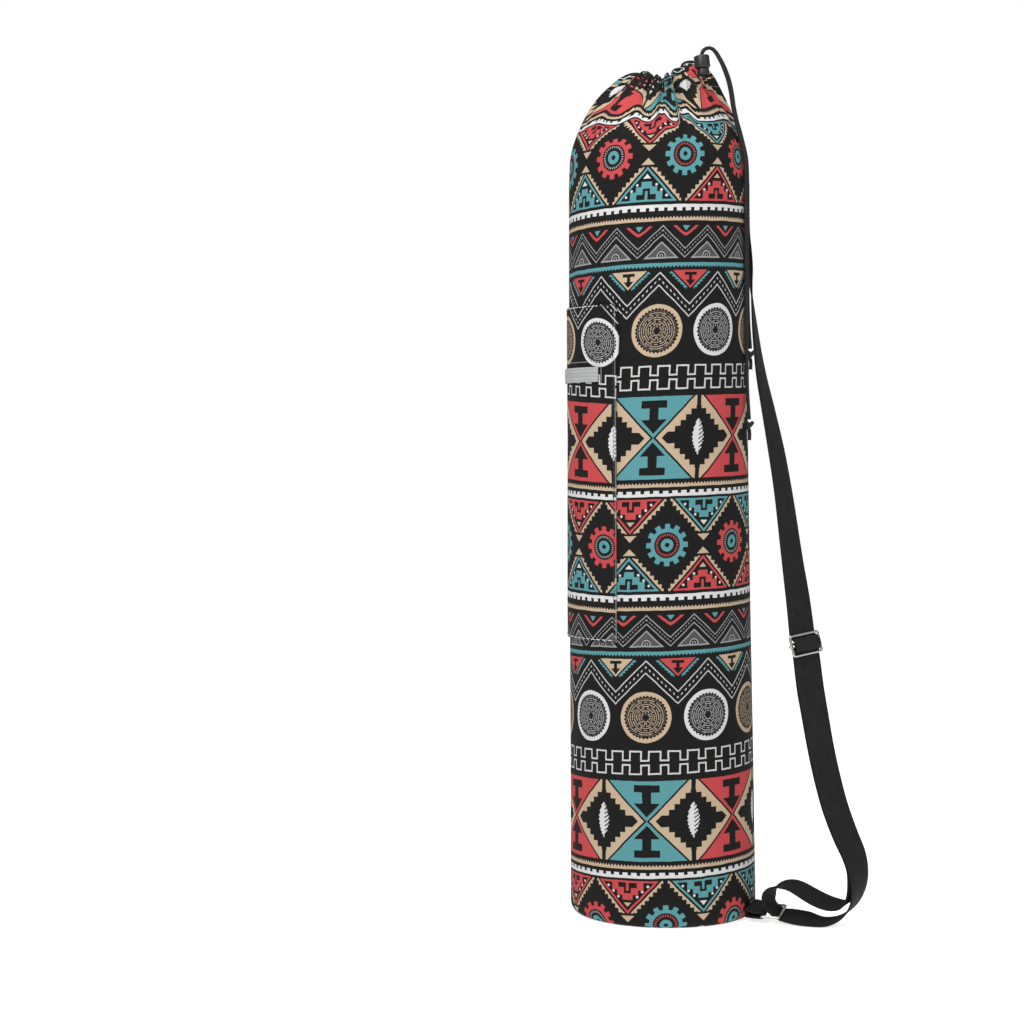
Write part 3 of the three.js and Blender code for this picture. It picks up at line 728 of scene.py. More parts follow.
def canvas_material(name, place_in_print, grey_lines, painted_shade=None):
    """Black canvas with the banded print, a plain weave, slight unevenness and, where given, painted shade in
    plain black.
    """
    material, nodes, links, shader = new_material(name)
    tree = material.node_tree
    u, v, uv_map = cloth_coordinates(tree)
    wander_u, wander_v = add_noise(tree, uv_map, 90)
    drawn_u = u + (wander_u - 0.5) * 1.1
    drawn_v = v + (wander_v - 0.5) * 1.1
    p, g = place_in_print(drawn_u, drawn_v)
    g = g.maths("FLOORED_MODULO", PRINT_REPEAT)
    inks = print_inks(p, g)
    inks.lay("grey", grey_lines(u, v))
    colour = CLOTH_BLACK
    for ink, ink_colour in INK_COLOURS.items():
        colour = mix_colour(tree, colour, ink_colour, inks.masks[ink])
    # Painted shade: plain black laid over the print where the mask says.
    if painted_shade is not None:
        colour = mix_colour(tree, colour, CLOTH_BLACK, painted_shade(u, v))
    threads = (u * (2 * math.pi / 0.9)).maths("SINE") * (v * (2 * math.pi / 0.9)).maths("SINE")
    soft = add_noise(tree, uv_map, 22, 3.0)[0]
    broad = add_bump(tree, soft, 0.35, 0.0025)
    weave = add_bump(tree, threads, 0.25, 0.00012, broad)
    finish_cloth(tree, shader, colour, weave, 0.9, 0.15)
    return material


canvas = canvas_material("printed_canvas", body_print, hem_thread, painted_shade_over_print)
pocket_canvas = canvas_material("pocket_canvas", pocket_print, pocket_edges)


def woven_zip():
    """Grey tape with the closed coil's line along its middle."""
    material, nodes, links, shader = new_material("zip_tape")
    tree = material.node_tree
    u, v, uv_map = cloth_coordinates(tree)
    across = v - 446
    coil = across.near(0, 1.3)
    teeth = coil * u.wrapped(1.6).near(0, 0.35)
    line = across.size().near(4.2, 0.25).either(across.size().near(1.7, 0.25))
    colour = linear(156, 159, 158)
    colour = mix_colour(tree, colour, linear(134, 134, 136), line)
    colour = mix_colour(tree, colour, linear(144, 144, 146), teeth)
    wander = add_noise(tree, uv_map, 260)[0]
    colour = mix_colour(tree, colour, linear(136, 136, 138), (wander - 0.35) * 0.9)
    ribs = (v * (2 * math.pi / 0.8)).maths("SINE") * 0.3 + coil
    finish_cloth(tree, shader, colour, add_bump(tree, ribs, 0.5, 0.0003), 0.7, 0.3)
    return material


def dark_weave(name, colour, lighter, pitch, depth, slope):
    """Black yarn, ribbed both ways across its length."""
    material, nodes, links, shader = new_material(name)
    tree = material.node_tree
    u, v, uv_map = cloth_coordinates(tree)
    turn = 2 * math.pi / pitch
    ribs = ((u * slope + v) * turn).maths("SINE")
    cross = ((u * slope - v) * turn).maths("SINE")
    yarn = ribs.either(cross) * 0.5 + 0.5
    wander = add_noise(tree, uv_map, 120)[0]
    mixed = mix_colour(tree, colour, lighter, yarn * wander)
    finish_cloth(tree, shader, mixed, add_bump(tree, yarn, 0.6, depth), 0.8, 0.2)
    return material


def worn_material(name, colour, darker, roughness, metallic, scale, depth):
    """A hard surface with slight unevenness."""
    material, nodes, links, shader = new_material(name)
    tree = material.node_tree
    noise = tree.nodes.new("ShaderNodeTexNoise")
    place = tree.nodes.new("ShaderNodeTexCoord")
    links.new(place.outputs["Object"], noise.inputs["Vector"])
    noise.inputs["Scale"].default_value = scale
    noise.inputs["Detail"].default_value = 3.0
    wander = Field(tree, noise.outputs[0])
    mixed = mix_colour(tree, colour, darker, wander)
    links.new(mixed, shader.inputs["Base Color"])
    links.new((wander * 0.2 + (roughness - 0.1)).socket, shader.inputs["Roughness"])
    bump = add_bump(tree, wander, 0.3, depth)
    links.new(bump.outputs["Normal"], shader.inputs["Normal"])
    shader.inputs["Metallic"].default_value = metallic
    return material


zip_fabric = woven_zip()
webbing_weave = dark_weave("webbing", linear(12, 12, 13), linear(34, 34, 36), 1.6, 0.0003, 0.6)
steel = worn_material("steel_wire", linear(196, 196, 192), linear(150, 150, 146), 0.28, 1.0, 900, 0.00003)
braid = dark_weave("cord_braid", linear(26, 26, 27), linear(46, 46, 48), 1.5, 0.0003, 1.0)
plastic = worn_material("black_plastic", linear(14, 14, 15), linear(24, 24, 25), 0.4, 0.0, 700, 0.00003)
thread = worn_material("sewing_thread", linear(196, 196, 196), linear(160, 160, 160), 0.7, 0.0, 900, 0.00005)
dark_thread = worn_material("dark_thread", linear(52, 52, 54), linear(34, 34, 35), 0.7, 0.0, 900, 0.00005)

# The bag: the tube and its gathered hem
COLUMNS = 336
SEAM_ANGLE = 102  # where the canvas is sewn together, under the strap


def cloth_shell(name, outer_rows, inner_rows, inset, base_length):
    """A closed shell of cloth: its outer rows go up and its inner rows come back down."""
    angles = [SEAM_ANGLE - 360 + 360 * j / COLUMNS for j in range(COLUMNS + 1)]
    outside = [cloth_column(angle, outer_rows) for angle in angles]
    inside = [cloth_column(angle, inner_rows, inset) for angle in angles]
    order = [(outside, i) for i in range(len(outer_rows))]
    order += [(inside, i) for i in reversed(range(len(inner_rows)))]
    points, uvs = [], []
    for layer, i in order:
        for angle, column in zip(angles, layer):
            place, length = column[i]
            points.append(place)
            uvs.append(cloth_uv(angle, length + base_length))
    faces = grid_faces(len(order), len(angles), close_rows=True)
    return add_mesh(name, points, faces, canvas, uvs)


def make_bag():
    rows = cloth_rows()
    tube_rows = [r for r in rows if r <= HEM_SPAN]
    hem_rows = [r for r in rows if r >= HEM_SPAN]
    tube_inside = [0.0] + [float(i) for i in range(2, HEM_SPAN + 1)]
    hem_inside = hem_rows[::2]
    tube = cloth_shell("bag_tube", tube_rows, tube_inside, CLOTH, 0)
    hem = cloth_shell("gathered_hem", hem_rows, hem_inside, CLOTH, HEM_START)
    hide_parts("bag_body")
    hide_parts("mouth_casing")
    return tube, hem


bag_tube, gathered_hem = make_bag()


def make_base():
    """The round bottom, drawn in a little at its seam."""
    rings = [(0.0, 0.0), (20, 0.0), (40, 0.0), (55, 0.0), (62, 0.2), (66, 0.4), (68.6, 1.0)]
    count = 96
    points, uvs = [Vector((0, 0, 0))], [(0, 0)]
    for radius, height in rings[1:] + [(radius, CLOTH) for radius, rise in reversed(rings[1:])]:
        for j in range(count):
            p = around_axis(360 * j / count, radius, height, 0)
            points.append(p)
            uvs.append((p.x * MM, p.y * MM - 0.2))
    points.append(Vector((0, 0, CLOTH)))
    uvs.append((0, 0))
    ring_count = 2 * (len(rings) - 1)
    faces = [(0, 1 + (j + 1) % count, 1 + j) for j in range(count)]
    for a, b, c, d in grid_faces(ring_count, count, close_columns=True):
        faces.append((a + 1, b + 1, c + 1, d + 1))
    last = 1 + (ring_count - 1) * count
    faces.extend((last + j, last + (j + 1) % count, len(points) - 1) for j in range(count))
    base = add_mesh("base_round", points, faces, canvas, uvs)
    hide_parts("base_panel")
    return base


make_base()

# Pocket and zip
POCKET_CLOTH = 1.5
POCKET_BOTTOM = 230
POCKET_TOP = 502
POCKET_FRONT_ANGLE = -27
POCKET_BACK_ANGLE = -139
ZIP_BOTTOM = 440
ZIP_WIDTH = 12
ZIP_THICKNESS = 1.2
ZIP_FRONT_ANGLE = -39
ZIP_BACK_ANGLE = -126
LOOSE_HEIGHT = 474  # where the pocket's front edge stands loosest
LOOSE_LENGTH = 26
LOOSE_SHARE = 1 / 8  # of the panel's width


def side_panel(bottom, top, front, back, distance, thickness, rows, columns, loose=0):
    """Points, faces and uvs of a closed panel on the bag's side. Its front edge bulges by loose degrees."""
    points, uvs = [], []
    for side in (1, 0):
        for i in range(rows + 1):
            up = i / rows
            for j in range(columns + 1):
                across = j / columns
                height = bottom + (top - bottom) * up
                near_edge = max(0, 1 - across / LOOSE_SHARE)
                slack = loose * near_edge * math.exp(-(((height - LOOSE_HEIGHT) / LOOSE_LENGTH) ** 2))
                angle = front + (back - front) * across + slack
                radius, lean = tube_at(height)
                points.append(around_axis(angle, radius + distance + side * thickness, height, lean))
                uvs.append((math.radians(angle) * CLOTH_RADIUS * MM, height * MM))
    w = columns + 1
    h = rows + 1
    faces = grid_faces(h, w)
    faces += [tuple(h * w + k for k in reversed(face)) for face in grid_faces(h, w)]
    rim = [j for j in range(w)] + [i * w + w - 1 for i in range(1, h)]
    rim += [(h - 1) * w + j for j in reversed(range(w - 1))] + [i * w for i in reversed(range(1, h - 1))]
    for a, b in zip(rim, rim[1:] + rim[:1]):
        faces.append((b, a, h * w + a, h * w + b))
    return points, faces, uvs


points, faces, uvs = side_panel(
    POCKET_BOTTOM, POCKET_TOP, POCKET_FRONT_ANGLE, POCKET_BACK_ANGLE, ON_CLOTH, POCKET_CLOTH, 80, 60, 2.4,
)
pocket = add_mesh("pocket", points, faces, pocket_canvas, uvs)
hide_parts("patch_pocket")
points, faces, uvs = side_panel(
    ZIP_BOTTOM, ZIP_BOTTOM + ZIP_WIDTH, ZIP_FRONT_ANGLE, ZIP_BACK_ANGLE,
    ON_CLOTH * 2 + POCKET_CLOTH, ZIP_THICKNESS, 12, 60,
)
zip_strip = add_mesh("zip_strip", points, faces, zip_fabric, uvs)
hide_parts("pocket_zip")

# Webbing
WEBBING_WIDTH = 25
WEBBING = 1.5
STRAP_ANGLE = 102
STRAP_SEWN_TOP = 606
STRAP_SEWN_LENGTH = 40
STRAP_REACH = 84
LOOP_HEIGHT = 30
CLEARANCE = 0.3
CURVE_SLACK = 0.2
WIRE = 2.2
SIDE_PLAY = 0.5
SLIDER_PITCH = 8.2
SLIDER_KNOB = 3
RING_DEPTH = 15
RING_OUT = 20.5
RING_FRONT = 0.526
RING_LIFT = 8.4
RING_TURN = 75
RING_RISE = 9.4
TAB_ANGLE = 67
TAB_TOP = 11.5
TAB_BOTTOM = 6.3
STRAP_STEP = 14

# Stations of the strap: height is a share of BAG_HEIGHT, up of LOOP_HEIGHT, reach of STRAP_REACH from the
# side of the bag, front of BAG_RADIUS. turn and rise give the direction across, in degrees.
UPPER_STRAP = table("height reach front turn rise", [
    (0.772, -0.067, -0.19, 97, 0),
    (0.741, -0.05, -0.17, 89, 0),
    (0.699, -0.018, -0.14, 80, 0),
    (0.669, 0.01, -0.11, 75, 0),
    (0.637, 0.049, -0.075, 69, 0),
    (0.607, 0.099, -0.035, 64, 0),
    (0.55, 0.19, 0.05, 56, 1),
    (0.5, 0.257, 0.12, 52, 2),
    (0.421, 0.342, 0.22, 44, 4),
    (0.374, 0.396, 0.28, 37, 6),
])
SLIDER_PLACE = {"height": 0.3235, "reach": 0.469, "front": 0.36, "turn": 33, "rise": 8}
FRONT_LAYER = table("height reach front turn rise", [
    (0.27, 0.519, 0.43, 31, 5),
    (0.236, 0.567, 0.47, 32, 4),
    (0.201, 0.619, 0.5, 33, 4),
    (0.167, 0.681, 0.53, 33, 4),
    (0.132, 0.761, 0.57, 34, 5),
    (0.098, 0.869, 0.61, 37, 5),
    (0.081, 0.93, 0.63, 41, 4),
    (0.0645, 0.962, 0.65, 47, 2),
])
FLOOR_LAYER = table("up reach front turn rise", [
    (1.11, 0.968, 0.66, 55, 0),
    (0.73, 0.94, 0.66, 66, -4),
    (0.45, 0.89, 0.655, 76, -6),
    (0.26, 0.815, 0.65, 84, -6),
    (0.115, 0.73, 0.65, 89, -2),
    (0.11, 0.615, 0.65, 90, 7),
    (0.165, 0.455, 0.64, 87, 17),
    (0.19, 0.35, 0.59, 81, 15),
])
ARCH = table("up reach front turn rise", [
    (0.41, 0.135, 0.5, 69, 5),
    (0.68, 0.11, 0.495, 60, -3),
    (0.89, 0.15, 0.495, 62, -1),
    (0.98, 0.22, 0.5, 66, 3),
    (1.0, 0.297, 0.505, 66, 6),
    (0.94, 0.384, 0.51, 66, 10),
    (0.8, 0.48, 0.52, 65, 13),
    (0.63, 0.602, 0.545, 65, 14),
    (0.53, 0.717, 0.56, 66, 12),
    (0.525, 0.81, 0.585, 65, 8),
    (0.62, 0.878, 0.61, 61, 3),
    (0.84, 0.925, 0.635, 55, 1),
])


def direction_across(turn, rise):
    t, r = math.radians(turn), math.radians(rise)
    return Vector((math.cos(r) * math.cos(t), math.cos(r) * math.sin(t), math.sin(r)))


def strap_station(row):
    height = row["height"] * BAG_HEIGHT if "height" in row else row["up"] * LOOP_HEIGHT
    at = Vector((BAG_RADIUS + row["reach"] * STRAP_REACH, -row["front"] * BAG_RADIUS, height))
    return at, direction_across(row["turn"], row["rise"])


def smoothed(stations, step):
    """Stations a step apart along a smooth curve through the given ones."""
    places = [at for at, across in stations]
    directions = [across for at, across in stations]
    count = max(2, round(curve_length(places) / step))
    positions = even_positions(places, count)[0]
    result = []
    for position in positions:
        across = curve_point(directions, None, position).normalized()
        result.append((curve_point(places, 0.25, position), across))
    return result


def fitting_frame(place, along):
    """Directions for a wire fitting: its place, across the webbing, up along it, and out of its face."""
    at, across = place
    across = across.normalized()
    up = (along - across * along.dot(across)).normalized()
    return {"at": at, "across": across, "up": up, "face": -up.cross(across)}


def in_frame(f, across, up, face):
    return f["at"] + f["across"] * across + f["up"] * up + f["face"] * face


BAR_HALF = WEBBING_WIDTH / 2 + SIDE_PLAY + WIRE / 2
WRAP = WIRE / 2 + CLEARANCE + WEBBING / 2
LAYER = WEBBING + CLEARANCE


def round_bar(f, level, radius, start, end, steps):
    result = []
    for i in range(steps + 1):
        a = math.radians(start + (end - start) * i / steps)
        at = in_frame(f, 0, level + radius * math.cos(a), radius * math.sin(a))
        result.append((at, f["across"].copy()))
    return result


above_slider = strap_station(UPPER_STRAP[-1])
below_slider = strap_station(FRONT_LAYER[0])
slider_frame = fitting_frame(strap_station(SLIDER_PLACE), above_slider[0] - below_slider[0])
ring_place = Vector((BAG_RADIUS + RING_OUT, -RING_FRONT * BAG_RADIUS, RING_LIFT))
tab_seam = around_axis(TAB_ANGLE, BAG_RADIUS, (TAB_TOP + TAB_BOTTOM) / 2, 0)
ring_frame = fitting_frame((ring_place, direction_across(RING_TURN, RING_RISE)), tab_seam - ring_place)


def through_slider():
    over = WRAP + LAYER
    slope = math.degrees(math.asin((WRAP + over) / SLIDER_PITCH))
    meet = 90 - slope
    return (
        round_bar(slider_frame, SLIDER_PITCH, WRAP, 270, 180 + meet, 4)
        + round_bar(slider_frame, 0, over, meet, 180 - meet, 10)
        + round_bar(slider_frame, -SLIDER_PITCH, WRAP, -meet, -90, 4)
    )


def sewn_to_slider():
    return (
        round_bar(slider_frame, -SLIDER_PITCH, WRAP + LAYER, -90, -84, 1)
        + round_bar(slider_frame, 0, WRAP, -80, 115, 12)
    )


def behind_front_layer(stations):
    result = []
    for i, (at, across) in enumerate(stations):
        before = stations[max(i - 1, 0)][0]
        after = stations[min(i + 1, len(stations) - 1)][0]
        face = (after - before).normalized().cross(across).normalized()
        result.append((at + face * (LAYER + CURVE_SLACK), across.copy()))
    return result


def strap_route():
    sewn = []
    for height in (STRAP_SEWN_TOP, STRAP_SEWN_TOP - STRAP_SEWN_LENGTH):
        radius, lean = tube_at(height)
        at = around_axis(STRAP_ANGLE, radius + ON_CLOTH + WEBBING / 2, height, lean)
        sewn.append((at, direction_across(STRAP_ANGLE, 0)))
    passing = through_slider()
    upper = sewn + [strap_station(row) for row in UPPER_STRAP] + [passing[0]]
    front = smoothed([strap_station(row) for row in FRONT_LAYER + FLOOR_LAYER], STRAP_STEP)
    under_ring = round_bar(ring_frame, 0, WRAP, 250, 292, 2)
    arch = smoothed([under_ring[2]] + [strap_station(row) for row in ARCH], STRAP_STEP / 2)
    back = smoothed([strap_station(row) for row in reversed(FRONT_LAYER)], STRAP_STEP)
    return (
        smoothed(upper, STRAP_STEP) + passing[1:] + front + under_ring + arch[1:]
        + behind_front_layer(back) + sewn_to_slider()
    )


def band_rings(stations, width, thickness):
    """Rings round a webbing with rounded edges, each with the length of webbing before it."""
    bulge = thickness * 0.32
    outline = [
        (-width / 2 + bulge, 1), (-width / 4, 1), (0, 1), (width / 4, 1), (width / 2 - bulge, 1),
        (width / 2, 0.45), (width / 2, -0.45),
        (width / 2 - bulge, -1), (width / 4, -1), (0, -1), (-width / 4, -1), (-width / 2 + bulge, -1),
        (-width / 2, -0.45), (-width / 2, 0.45),
    ]
    rings, lengths = [], []
    length = 0.0
    for i, (at, across) in enumerate(stations):
        before = stations[max(i - 1, 0)][0]
        after = stations[min(i + 1, len(stations) - 1)][0]
        along = (after - before).normalized()
        flat = (across - along * across.dot(along)).normalized()
        face = along.cross(flat)
        if i > 0:
            length += (at - before).length
        lengths.append(length)
        rings.append([at + flat * u + face * (v * thickness / 2) for u, v in outline])
    return rings, lengths, outline


def add_band(name, stations, width, thickness, material):
    rings, lengths, outline = band_rings(stations, width, thickness)
    points, faces = capped_tube(rings)
    uvs = [(u * MM, length * MM) for length in lengths for u, v in outline]
    return add_mesh(name, points, faces, material, uvs)


def finer(stations, step):
    """More stations along a route, for a smooth mesh."""
    places = [at for at, across in stations]
    kept = [stations[0]]
    for station in stations[1:]:
        if (station[0] - kept[-1][0]).length > 0.3:
            kept.append(station)
    return smoothed(kept, step)


strap = add_band("strap", finer(strap_route(), 2.5), WEBBING_WIDTH, WEBBING, webbing_weave)
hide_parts("shoulder_strap")


def tab_route():
    seam = BAG_RADIUS + ON_CLOTH

    def beside(distance, height):
        return around_axis(TAB_ANGLE, seam + distance, height, 0), direction_across(TAB_ANGLE, RING_RISE)

    def straight(face):
        return in_frame(ring_frame, 0, RING_DEPTH + 2 * WIRE, face), ring_frame["across"].copy()

    return (
        [beside(0, TAB_TOP), beside(2 * WEBBING, TAB_TOP), straight(WRAP)]
        + round_bar(ring_frame, RING_DEPTH, WRAP, 90, 270, 10)
        + [straight(-WRAP), beside(2 * WEBBING, TAB_BOTTOM), beside(0, TAB_BOTTOM)]
    )


tab = add_band("tab", finer(tab_route(), 1.2), WEBBING_WIDTH, WEBBING, webbing_weave)
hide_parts("ring_tab")


# Wire fittings
def tube_along(points, diameter, sides=16, closed=False):
    """Rings round a wire or cord along its points, carried along without twist."""
    rings = []
    count = len(points)
    side = None
    for i, at in enumerate(points):
        if closed:
            before, after = points[i - 1], points[(i + 1) % count]
        else:
            before, after = points[max(i - 1, 0)], points[min(i + 1, count - 1)]
        along = (after - before).normalized()
        if side is None:
            guess = Vector((0, 0, 1)) if abs(along.z) < 0.8 else Vector((1, 0, 0))
            side = along.cross(guess).normalized()
        side = (side - along * side.dot(along)).normalized()
        up = along.cross(side)
        ring = []
        for k in range(sides):
            a = 2 * math.pi * k / sides
            ring.append(at + (side * math.cos(a) + up * math.sin(a)) * (diameter / 2))
        rings.append(ring)
    return rings


def rounded_rectangle(f, half, low, high, corner, steps=6):
    """Middle line of a bent wire in a fitting's frame."""
    line = []
    for across, up, start in ((half, high, 0), (-half, high, 90), (-half, low, 180), (half, low, 270)):
        cx = across - math.copysign(corner, across)
        cy = up - (corner if up == high else -corner)
        for i in range(steps + 1):
            a = math.radians(start + 90 * i / steps)
            line.append(in_frame(f, cx + corner * math.cos(a), cy + corner * math.sin(a), 0))
    return line


def joined_mesh(parts):
    points, faces = [], []
    for part_points, part_faces in parts:
        start = len(points)
        points.extend(part_points)
        faces.extend(tuple(start + k for k in face) for face in part_faces)
    return points, faces


def wire_loop(f, half, low, high):
    rings = tube_along(rounded_rectangle(f, half, low, high, 1.6), WIRE, closed=True)
    points = [p for ring in rings for p in ring]
    return points, grid_faces(len(rings), len(rings[0]), close_rows=True, close_columns=True)


def make_ring():
    points, faces = wire_loop(ring_frame, BAR_HALF, 0, RING_DEPTH)
    ring = add_mesh("wire_ring", points, faces, steel)
    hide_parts("strap_ring")


def knob(f):
    """The rounded end of the slider's middle bar."""
    centre = in_frame(f, -BAR_HALF - WIRE / 2, 0, 0)
    line = [centre + f["across"] * (d * SLIDER_KNOB / 2) for d in (-1, -0.9, -0.6, -0.2, 0.2, 0.6, 0.9, 1)]
    rings = []
    for d, at in zip((-1, -0.9, -0.6, -0.2, 0.2, 0.6, 0.9, 1), line):
        radius = SLIDER_KNOB / 2 * math.sqrt(max(1 - d * d, 0.02))
        ring = []
        for k in range(16):
            a = 2 * math.pi * k / 16
            ring.append(at + (f["up"] * math.cos(a) + f["face"] * math.sin(a)) * radius)
        rings.append(ring)
    return capped_tube(rings)


def make_slider():
    loop = wire_loop(slider_frame, BAR_HALF, -SLIDER_PITCH, SLIDER_PITCH)
    line = [in_frame(slider_frame, x, 0, 0) for x in (-BAR_HALF, -BAR_HALF / 2, 0, BAR_HALF / 2, BAR_HALF)]
    middle = capped_tube(tube_along(line, WIRE))
    points, faces = joined_mesh([loop, middle, knob(slider_frame)])
    slider = add_mesh("wire_slider", points, faces, steel)
    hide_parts("strap_slider")


make_ring()
make_slider()

# Stitching
STITCH_SHAPE = table("along size lift", [
    (0.0, 0.45, -0.6),
    (0.15, 0.85, 0.1),
    (0.5, 1.0, 0.45),
    (0.85, 0.85, 0.1),
    (1.0, 0.45, -0.6),
])


def stitch_row(spots, stitch, gap, width):
    """Raised stitches along a line of spots, each a place and the way off the cloth there."""
    lengths = [0.0]
    for (a, _), (b, _) in zip(spots, spots[1:]):
        lengths.append(lengths[-1] + (b - a).length)

    def at(length):
        k = next((i for i in range(1, len(lengths)) if lengths[i] >= length), len(lengths) - 1)
        t = (length - lengths[k - 1]) / (lengths[k] - lengths[k - 1])
        (low, low_out), (high, high_out) = spots[k - 1], spots[k]
        return low.lerp(high, t), low_out.lerp(high_out, t).normalized()

    parts = []
    start = gap / 2
    while start + stitch < lengths[-1]:
        rings = []
        for shape in STITCH_SHAPE:
            length = start + stitch * shape["along"]
            place, out = at(length)
            along = (at(length + 0.2)[0] - at(max(length - 0.2, 0))[0]).normalized()
            side = along.cross(out).normalized()
            middle = place + out * (shape["lift"] * width / 2)
            rings.append([
                middle + (side * math.cos(a) + out * math.sin(a)) * (shape["size"] * width / 2)
                for a in (2 * math.pi * k / 8 for k in range(8))
            ])
        parts.append(capped_tube(rings))
        start += stitch + gap
    return parts


def add_stitches(name, rows, material):
    points, faces = joined_mesh([part for row in rows for part in row])
    piece = add_mesh(name, points, faces, material)
    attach(piece, "root")
    return piece


def pocket_line(start, end):
    """Spots on the pocket's face between two places given by angle and height."""
    spots = []
    for i in range(61):
        angle = start[0] + (end[0] - start[0]) * i / 60
        height = start[1] + (end[1] - start[1]) * i / 60
        radius, lean = tube_at(height)
        face = radius + ON_CLOTH + POCKET_CLOTH + 0.08
        spots.append((around_axis(angle, face, height, lean), around_axis(angle, 1, 0, 0)))
    return spots


def strap_end_line(start, end):
    """Spots on the strap's sewn end between two places given by distance across and height."""
    spots = []
    for i in range(21):
        across = start[0] + (end[0] - start[0]) * i / 20
        height = start[1] + (end[1] - start[1]) * i / 20
        radius, lean = tube_at(height)
        face = around_axis(STRAP_ANGLE, radius + ON_CLOTH + WEBBING + 0.1, height, lean)
        spots.append((face + direction_across(STRAP_ANGLE, 0) * across, around_axis(STRAP_ANGLE, 1, 0, 0)))
    return spots


SEAM_INSET = 1.6  # of the pocket's stitching from its edges
LEFT, RIGHT = POCKET_BACK_ANGLE + 1.5, POCKET_FRONT_ANGLE - 1.5
TOP, BOTTOM = POCKET_TOP - 0.9, POCKET_BOTTOM + SEAM_INSET
add_stitches("pocket_light_stitches", [
    stitch_row(pocket_line((LEFT, TOP), (-38, TOP)), 3.0, 1.2, 0.8),
    stitch_row(pocket_line((LEFT, BOTTOM), (RIGHT, BOTTOM)), 4.5, 1.6, 0.8),
], thread)
add_stitches("pocket_dark_stitches", [
    stitch_row(pocket_line((-37, TOP), (RIGHT, TOP)), 3.0, 1.2, 0.7),
    stitch_row(pocket_line((RIGHT, BOTTOM + 3), (RIGHT, TOP - 3)), 3.0, 1.2, 0.6),
    stitch_row(pocket_line((LEFT, BOTTOM + 3), (LEFT, TOP - 3)), 3.0, 1.2, 0.6),
], dark_thread)
SEWN_TOP, SEWN_BOTTOM = STRAP_SEWN_TOP - 2.5, STRAP_SEWN_TOP - STRAP_SEWN_LENGTH + 2.5
STRAP_SEAM = 9.5  # from the strap's middle line
add_stitches("strap_end_stitches", [
    stitch_row(strap_end_line(start, end), 2.6, 1.0, 0.7)
    for start, end in (
        ((-STRAP_SEAM, SEWN_TOP), (STRAP_SEAM, SEWN_TOP)),
        ((STRAP_SEAM, SEWN_TOP), (STRAP_SEAM, SEWN_BOTTOM)),
        ((STRAP_SEAM, SEWN_BOTTOM), (-STRAP_SEAM, SEWN_BOTTOM)),
        ((-STRAP_SEAM, SEWN_BOTTOM), (-STRAP_SEAM, SEWN_TOP)),
        ((-STRAP_SEAM, SEWN_TOP), (STRAP_SEAM, SEWN_BOTTOM)),
        ((STRAP_SEAM, SEWN_TOP), (-STRAP_SEAM, SEWN_BOTTOM)),
    )
], dark_thread)

# Drawcord, with the points of the cords in the part's source
CORD = 3
LONG_CORD = [
    (32.4, -37.2, 684.7), (32.0, -37.1, 686.7), (31.5, -37.1, 691.2), (31.0, -37.1, 695.2),
    (30.5, -37.1, 699.2), (30.2, -37.1, 702.4), (30.1, -37.1, 705.0), (30.9, -37.0, 707.9),
    (33.0, -36.8, 710.0), (35.9, -36.3, 710.8), (38.6, -35.6, 710.1), (40.8, -34.6, 708.2),
    (43.5, -33.3, 704.2), (46.7, -31.7, 698.3), (49.2, -30.1, 692.5), (51.4, -28.5, 686.4),
    (53.0, -27.0, 680.4), (54.4, -25.9, 673.0), (55.7, -25.1, 664.5), (58.0, -24.8, 654.0),
    (60.8, -24.6, 643.8), (63.3, -24.4, 634.4), (65.5, -24.3, 624.5), (66.5, -24.2, 612.0),
    (66.6, -24.2, 596.0), (66.6, -24.2, 576.0), (66.8, -24.2, 552.0), (67.0, -24.2, 528.0),
    (67.1, -24.2, 504.0), (67.4, -24.2, 480.0), (67.8, -24.3, 456.0), (68.3, -24.4, 434.0),
    (69.8, -24.9, 410.0),
]
SHORT_CORD = [
    (32.4, -33.6, 686.7), (32.0, -33.5, 686.7), (31.5, -33.5, 691.2), (31.0, -33.5, 695.2),
    (30.5, -33.5, 699.2), (30.2, -33.5, 702.6), (30.1, -33.5, 705.2), (31.0, -33.4, 708.3),
    (33.2, -33.2, 710.6), (36.3, -32.7, 711.4), (39.3, -32.0, 710.5), (41.6, -31.0, 708.4),
    (44.6, -29.7, 704.2), (48.0, -28.1, 698.3), (50.6, -26.5, 692.5), (52.8, -24.9, 686.4),
    (54.4, -23.4, 680.4), (55.7, -22.3, 673.0), (57.0, -21.5, 664.5), (59.3, -21.2, 654.0),
    (62.2, -21.0, 643.8), (64.6, -20.8, 634.4), (66.8, -20.6, 624.5), (67.8, -20.5, 612.0),
    (67.9, -20.5, 596.0), (67.9, -20.5, 576.0), (68.1, -20.5, 552.0), (68.3, -20.5, 528.0),
    (68.6, -20.4, 506.0), (69.4, -20.1, 486.0), (70.8, -19.7, 468.0),
]


def add_cord(name, node, points, material):
    route = [Vector(p) for p in points]
    length = curve_length(route)
    positions = even_positions(route, round(length / 1.5))[0]
    line = [curve_point(route, 0.25, position) for position in positions]
    rings = tube_along(line, CORD, sides=12)
    mesh_points, faces = capped_tube(rings)
    step = length / (len(line) - 1)
    uvs = [(k / 12 * math.pi * CORD * MM, i * step * MM) for i in range(len(line)) for k in range(12)]
    cord = add_mesh(name, mesh_points, faces, material, uvs)
    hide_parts(node)
    return cord, [p * MM for p in line], length * MM


